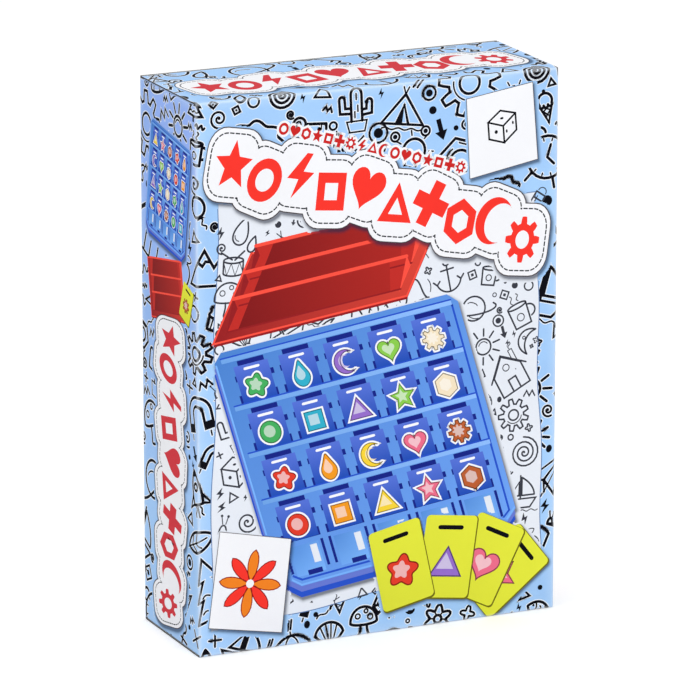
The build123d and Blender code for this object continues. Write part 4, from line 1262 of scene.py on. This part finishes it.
leans = np.radians((7, -9, 5, 11, -6, 8, -12, 6, -8, 10))


def dashed(points, dash, space):
    """Cuts a path into dashes by its length."""
    along = np.concatenate([[0], np.cumsum(np.hypot(*np.diff(points, axis=0).T))])
    for start in np.arange(0, along[-1], dash + space):
        spots = np.linspace(start, min(start + dash, along[-1]), 3)
        yield np.stack([np.interp(spots, along, points[:, axis]) for axis in (0, 1)], 1)


def place_name(start, end, bow, radius, red, stretch=1.25):
    """Row of figures along a bowed line, hopping up and down, each on its own bump of one white sticker.

    Each bump has its edge, white, stitches and inside on rising layers, so that only the outer rim shows.
    """
    start, end = np.array(start, float), np.array(end, float)
    run = (end - start) / np.linalg.norm(end - start)
    side = np.array([-run[1], run[0]])
    share = np.linspace(0, 1, len(figures))
    hop = 0.22 * radius * np.where(np.arange(len(figures)) % 2, -1, 1)
    middles = start + share[:, None] * (end - start) + (bow * 4 * share * (1 - share) + hop)[:, None] * side
    lines = [(math.cos(lean) * run + math.sin(lean) * side,
              stretch * (math.cos(lean) * side - math.sin(lean) * run)) for lean in leans]

    def bump(number, margin, more=0.0):
        """Outline of a figure's bump, with a margin of that share of the radius and so much more round it."""
        across, up = lines[number]
        reach = 0.9 * radius + margin * radius + more
        return sheet(middles[number], reach * across, reach * up)(rounded_box(1, 1, 0.62))

    numbers = range(len(figures))
    blank.shadow([bump(number, STICKER_MARGIN, 0.3) for number in numbers], STICKER_LAYER - 1)
    for number, ((outline, holes), (across, up)) in enumerate(zip(figures, lines)):
        blank.area(bump(number, STICKER_MARGIN, EDGE_MARGIN), STICKER_EDGE, STICKER_LAYER)
        blank.area(bump(number, STICKER_MARGIN), STICKER_WHITE, STICKER_LAYER + 1)
        for stitch in dashed(bump(number, STITCH_MARGIN), STITCH_DASH * radius, STITCH_SPACE * radius):
            blank.line(stitch, STITCH_WIDTH * radius, STITCH, STICKER_LAYER + 2)
        blank.area(bump(number, 0.2), STICKER_WHITE, STICKER_LAYER + 3)
        plane = sheet(middles[number], 0.84 * radius * across, 0.84 * radius * up)
        blank.area(plane(outline), red, STICKER_LAYER + 4, *[plane(hole) for hole in holes])


def place_tile(*corners):
    """Plain white tile with a dark edge."""
    outline = ring_of(path(*corners))
    blank.shadow([outline], STICKER_LAYER - 1)
    blank.line(outline, 0.6, STICKER_EDGE, STICKER_LAYER)
    blank.area(outline, STICKER_WHITE, STICKER_LAYER + 1)


place_name((18, 232), (167, 186), 3, 10.5, NAME_RED)
place_name((20, HIGH + 27), (165, HIGH + 31), 2, 9.8, DEEP_RED)
place_name((-33, 146), (-35, 16), 2, 8.2, DEEP_RED, 1.6)
place_name((WIDE + 33, 16), (WIDE + 34, 150), 2, 8.2, DEEP_RED, 1.6)
place_name((WIDE - 20, -27), (20, -31), 2, 9.8, DEEP_RED)
place_name((BACK_LEFT + 22, 204), (BACK_LEFT + 162, 200), 4, 9.0, NAME_RED)

marks_from, marks_to = np.array([44.0, 249.0]), np.array([134.0, 222.0])
for number, share in enumerate(np.linspace(0, 1, 17)):
    plane = sheet(marks_from + share * (marks_to - marks_from), (2.5, -0.75), (0.861, 2.874))
    outline, holes = figures[(3 * number + 1) % len(figures)]
    blank.line(plane(outline), 2.2, STICKER_WHITE, STICKER_LAYER)
    blank.area(plane(outline), STICKER_WHITE, STICKER_LAYER + 1)
    blank.area(plane(outline), MARK_RED, STICKER_LAYER + 2, *[plane(hole) for hole in holes])

place_tile(139, 216, 174, 222, 171, 259, 137, 254)
die = sheet((155.5, 239.5), (9.5, 1.3), (-0.8, 9.5))
die_drawing = {part: [die(points) for points in lines] for part, lines in drawings["cube"].items()}
place_doodle(die_drawing, (0, 0), 1, 0, STICKER_LAYER + 1, BLACK, 0.9, 0.6, 0)
place_tile(5, 14, 42, 7, 47, 52, 11, 60)
pinwheel = sheet((26, 33), (15, -2.6), (2.8, 15.5))
vane = np.vstack([curve(0, 0, 0.15, 0.5, 0.5, 0.8, 0.75, 0.72, steps=8),
                  curve(0.75, 0.72, 0.8, 0.45, 0.4, 0.1, 0, 0, steps=8)])
for blade in range(8):
    outline = pinwheel(moved(vane, turn=45 * blade))
    blank.area(outline, (NAME_RED, WARM_ORANGE)[blade % 2], STICKER_LAYER + 2)
    blank.line(outline, 0.5, shaded(MARK_RED, -0.5), STICKER_LAYER + 3)
blank.area(pinwheel(arc(0, 0, 0.13)), STICKER_WHITE, STICKER_LAYER + 4)

# --- Folding the print ----------------------------------------------------------------------------
# The finished sheet is cut and folded: each panel takes its own part of the print round its arrises.

drop_low, gap, lid = SIDE_DROP / MM, LID_SIDE_GAP / MM, LID_LENGTH / MM
blank.fold("front", "carton", (0, 0), (WIDE, HIGH), lambda s: s, lambda t: t)
blank.fold("left", "carton", (-DEEP, drop_low), (0, HIGH - drop_low), lambda s: s + WALL_DEPTH,
           lambda t: t - SIDE_DROP)
blank.fold("right", "carton", (WIDE, drop_low), (WIDE + DEEP - BOARD_THICK / MM, HIGH - drop_low),
           lambda s: s - WALL_WIDTH, lambda t: t - SIDE_DROP)
blank.fold("back", "carton", (BACK_LEFT + SEAM_SETBACK / MM, 0), (-DEEP, HIGH),
           lambda s: s + WALL_DEPTH + WALL_WIDTH - SEAM_SETBACK, lambda t: t)
blank.fold("top_lid", "top_lid", (gap, HIGH), (WIDE - gap, HIGH + lid), lambda s: s,
           lambda t: t - WALL_HEIGHT)
blank.fold("bottom_lid", "bottom_lid", (gap, -lid), (WIDE - gap, 0), lambda s: WALL_WIDTH - s, lambda t: -t)

# --- Flip boards ----------------------------------------------------------------------------------
# Two stepped shells, injection moulded in blue and red polystyrene, stand back to back in the carton. The
# moulding has softened edges, faint flow marks and a fine satin texture from the mould.

BOARD_EDGE, DOOR_EDGE = 0.25 * MM, 0.15 * MM
BEVEL_FROM = math.radians(50)              # the pins' flats meet at 45 degrees and stay crisp
MERGE_WITHIN = 0.001 * MM
FLOW_LUMPS, GLOSS_LUMPS, MOULD_GRAIN, MOULD_DEPTH = 70.0, 120.0, 2600.0, 0.05 * MM


def moulded_group():
    """Injection-moulded plastic: pigment with flow marks along Z, uneven gloss and a fine texture."""
    tree, given, give = new_group("moulded_plastic", {"Pigment": (0.5, 0.5, 0.5, 1), "Gloss": 0.3},
                                  "Color", "Roughness", "Height")
    place = object_place(tree)
    drawn = node(tree, "ShaderNodeMapping", {"Vector": place, "Scale": (1.0, 1.0, 0.2)}).outputs[0]
    shade = maths(tree, "MULTIPLY_ADD", noise(tree, drawn, FLOW_LUMPS, 3.0, 0.6), 0.22, 0.89)
    uneven = noise(tree, place, GLOSS_LUMPS, 3.0)
    return give(Color=darkened(tree, given["Pigment"], shade),
                Roughness=maths(tree, "MULTIPLY_ADD", uneven, 0.14, given["Gloss"]),
                Height=noise(tree, place, MOULD_GRAIN, 2.0))


moulded_plastic = moulded_group()


def plastic_material(name, pigment, gloss):
    """Moulded plastic of that pigment and roughness."""
    material, tree, shader = new_material(name, Specular_IOR_Level=0.45)
    finish(tree, shader, placed_group(tree, moulded_plastic, Pigment=pigment, Gloss=gloss), 0.12, MOULD_DEPTH)
    return material


def moulded_piece(name, source, body, slot, edge):
    """The node's solid with its points merged, its flats joined and its square edges rounded by that much."""
    work = bmesh.new()
    work.from_mesh(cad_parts[source].data)
    bmesh.ops.remove_doubles(work, verts=work.verts, dist=MERGE_WITHIN)
    bmesh.ops.dissolve_limit(work, angle_limit=math.radians(0.5), verts=work.verts, edges=work.edges)
    mesh = bpy.data.meshes.new(name)
    work.to_mesh(mesh)
    work.free()
    mesh.materials.clear()
    mesh.materials.append(plastics[slot])
    piece = bpy.data.objects.new(name, mesh)
    rounding = piece.modifiers.new("round_edges", "BEVEL")
    rounding.width = edge
    rounding.segments = 2
    rounding.limit_method = "ANGLE"
    rounding.angle_limit = BEVEL_FROM
    rounding.harden_normals = True
    link(piece, body, slot, source)


plastics = {
    "blue_plastic": plastic_material("blue_board_plastic", (0.10, 0.30, 0.80, 1), 0.26),
    "red_plastic": plastic_material("red_board_plastic", (0.80, 0.06, 0.05, 1), 0.26),
    "blue_door_plastic": plastic_material("blue_door_plastic", (0.045, 0.16, 0.62, 1), 0.22),
    "red_door_plastic": plastic_material("red_door_plastic", (0.60, 0.03, 0.04, 1), 0.22),
}
for colour in ("blue", "red"):
    board = f"{colour}_board"
    moulded_piece(f"{colour}_moulded_board", board, board, f"{colour}_plastic", BOARD_EDGE)

# --- Doors and their cards ------------------------------------------------------------------------
# Twenty framed doors snap into each board on moulded pins. A printed card is pushed into every frame from
# its tip, and its token shows in the frame's window.

BOARDS_TOP, BOARDS_GAP = 245.6, 0.15       # player's edges, and each underside from the middle
COLUMN_PITCH, ROW_PITCH, FIRST_PIN = 33.5, 56.0, 34.0
PIN_HEIGHT, RACK_SLOPE = 4.3, math.radians(20)
CARD_FACE = 0.125                          # print above the pin axis, in the door's thickness
CARD_HALF, CARD_FROM, CARD_TO, CARD_RIM = 9.2, 4.6, 26.4, 0.7
CARD_GROUND = {"blue": printed(44, 104, 224), "red": printed(224, 60, 52)}
card_print = laminated_material("printed_card", ink_colour, 0.0)


def lay_print(marks, name, body, slot, origin, across, up):
    """Lays marks on a plane of the model: its origin in mm, and two directions whose cross is outwards."""
    directions = np.array([across, up, np.cross(across, up)])
    marks.lay(marks.flat_mesh(name, marks.marks), body, slot,
              lambda *flat: (np.array(origin) + np.stack(flat, 1) @ directions) * MM, card_print)


for colour, side in (("blue", -1), ("red", 1)):
    along, outward, slot = side * X, side * Y, f"{colour}_door_plastic"
    to_tip = math.sin(RACK_SLOPE) * outward - math.cos(RACK_SLOPE) * Z
    to_print = CARD_FACE * np.cross(along, to_tip)
    for number in range(ROWS * COLUMNS):
        row, column = divmod(number, COLUMNS)
        door = f"{colour}_door_r{row + 1}c{column + 1}"
        moulded_piece(f"{door}_frame", door, door, slot, DOOR_EDGE)
        pin = (COLUMN_PITCH * (column - COLUMNS // 2) * along + (BOARDS_GAP + PIN_HEIGHT) * outward
               + (BOARDS_TOP - FIRST_PIN - ROW_PITCH * row) * Z)
        face = Blank()
        face.area(box(-CARD_HALF, CARD_FROM, CARD_HALF, CARD_TO), CARD_GROUND[colour], 0)
        inner = box(-CARD_HALF + CARD_RIM, CARD_FROM + CARD_RIM, CARD_HALF - CARD_RIM, CARD_TO - CARD_RIM)
        face.line(inner, 0.3, shaded(CARD_GROUND[colour], 0.4), 1)
        face.line(path(-4, 24, 4, 24), 1.1, WHITE, 1)
        place_token(sheet((0, 13.6), (7.2, 0), (0, 7.2)), number, 1, 0.3, 1.9, face)
        lay_print(face, f"{door}_card", door, slot, pin + to_print, along, to_tip)

# --- Deck of cards --------------------------------------------------------------------------------
# Twenty loose cards of white board, printed yellow with a token each, lie in a stack on the boards. They
# are die cut with round corners, and none lies quite square on the next.

CARD_COUNT, CARD_SIZE = 20, (30.0, 20.0)   # half sizes
CARD_THICK, CARD_PITCH, DECK_BASE, CARD_CORNER = 0.34, 0.36, 245.9, 3.0
PRINT_RISE = 0.01
TURN_SPREAD, SHIFT_SPREAD = math.radians(0.6), 0.35
YELLOW, YELLOW_DEEP, YELLOW_LUMPS = printed(236, 238, 66), printed(226, 226, 44), 60.0
card_board = fibre_material("white_card_edge", (0.80, 0.79, 0.74, 1), 0.25)


def yellow_ground(tree):
    """Yellow ink, a little uneven."""
    return blend_colour(tree, noise(tree, object_place(tree), YELLOW_LUMPS), YELLOW, YELLOW_DEEP)


spread = np.random.default_rng(5)
card_turn = spread.uniform(-TURN_SPREAD, TURN_SPREAD, CARD_COUNT)
card_shift = spread.uniform(-SHIFT_SPREAD, SHIFT_SPREAD, (CARD_COUNT, 2))
card_turn[-1], card_shift[-1] = 0, 0
outline = rounded_box(*CARD_SIZE, CARD_CORNER)[:-1]
corners = len(outline)
c, s = np.cos(card_turn)[:, None], np.sin(card_turn)[:, None]
x = c * outline[:, 0] - s * outline[:, 1] + card_shift[:, :1]
y = s * outline[:, 0] + c * outline[:, 1] + card_shift[:, 1:]
low = DECK_BASE + CARD_PITCH * np.arange(CARD_COUNT)[:, None] + 0 * x
rings = np.stack([np.stack([x, y, low], -1), np.stack([x, y, low + CARD_THICK], -1)], 1)
faces = []
for card in range(CARD_COUNT):
    under = 2 * card * corners + np.arange(corners)
    over = under + corners
    faces += [under[::-1].tolist(), over.tolist()]
    faces += np.stack([under, np.roll(under, -1), np.roll(over, -1), over], 1).tolist()
deck = mesh_piece("yellow_card_stack", rings * MM, faces,
                  [laminated_material("yellow_printed_card", yellow_ground, 0.0), card_board],
                  ([0, 0] + [1] * corners) * CARD_COUNT)
link(deck, "card_deck", "yellow_card", "card_deck")

top_face = Blank()
top_face.line(path(-8.5, 22, 8.5, 22), 3.0, BLACK, 0)
place_token(sheet((0, -3.5), (13, 0), (0, 13)), 14, 0, 0.6, 0, top_face)
deck_top = DECK_BASE + CARD_PITCH * (CARD_COUNT - 1) + CARD_THICK + PRINT_RISE
lay_print(top_face, "top_card_print", "card_deck", "yellow_card", (0, 0, deck_top), -Y, X)

# --- Studio ---------------------------------------------------------------------------------------
# A pale sweep under soft light from all round, with large soft boxes in front, above and to the left. The
# floor and the world show white to the camera and in reflections, and the floor keeps the carton's shadow.

FLOOR_HALF = 6.0
CAMERA_PLACE = (-1.07908, -2.34999, 0.83784)
CAMERA_AIM = (0.402527, 0.876548, -0.263886)
CAMERA_LENS, CAMERA_SENSOR, CAMERA_REACH = 292.15, 36.0, 50.0
AMBIENT, BACKDROP_LIFT = 0.62, 0.34


def seen_directly(tree):
    """1 for rays from the camera, in reflections and through clear things, and 0 for those that light."""
    ray = tree.nodes.new("ShaderNodeLightPath").outputs
    direct = maths(tree, "MAXIMUM", ray["Is Camera Ray"], ray["Is Glossy Ray"])
    return maths(tree, "MAXIMUM", direct, ray["Is Transmission Ray"])


floor_mesh = bpy.data.meshes.new("floor")
floor_mesh.from_pydata([(x * FLOOR_HALF, y * FLOOR_HALF, 0) for x, y in ((-1, -1), (1, -1), (1, 1), (-1, 1))],
                       [], [(0, 1, 2, 3)])
floor = bpy.data.objects.new("floor", floor_mesh)
bpy.context.scene.collection.objects.link(floor)
floor_material, tree, shader = new_material("pale_sweep", Roughness=0.7, Specular_IOR_Level=0.1,
                                            Base_Color=(0.85, 0.85, 0.85, 1), Emission_Color=(1, 1, 1, 1))
lift = maths(tree, "MULTIPLY", seen_directly(tree), BACKDROP_LIFT)
tree.links.new(lift, shader.inputs["Emission Strength"])
floor_mesh.materials.append(floor_material)

world = bpy.data.worlds.new("studio")
world.use_nodes = True
bpy.context.scene.world = world
tree = world.node_tree
sky = blend_colour(tree, seen_directly(tree), (AMBIENT, AMBIENT, AMBIENT, 1), (1, 1, 1, 1))
tree.links.new(sky, tree.nodes["Background"].inputs["Color"])


def soft_box(name, place, size, power):
    """A square area light at a place, turned towards the carton's middle."""
    data = bpy.data.lights.new(name, "AREA")
    data.size = size
    data.energy = power
    light = bpy.data.objects.new(name, data)
    light.location = place
    light.rotation_euler = ((cad_low + cad_high) / 2 - Vector(place)).to_track_quat("-Z", "Y").to_euler()
    bpy.context.scene.collection.objects.link(light)


soft_box("front_box", (0.5, -2.4, 1.2), 1.6, 22.0)
soft_box("top_box", (-0.3, 0.2, 2.4), 1.6, 13.0)
soft_box("left_box", (-2.3, -0.5, 0.9), 1.4, 7.8)

camera_data = bpy.data.cameras.new("camera")
camera_data.lens = CAMERA_LENS
camera_data.sensor_width = CAMERA_SENSOR
camera_data.clip_end = CAMERA_REACH
camera = bpy.data.objects.new("camera", camera_data)
camera.location = CAMERA_PLACE
camera.rotation_euler = Vector(CAMERA_AIM).to_track_quat("-Z", "Y").to_euler()
bpy.context.scene.collection.objects.link(camera)
bpy.context.scene.camera = camera
bpy.context.scene.view_settings.view_transform = "Standard"
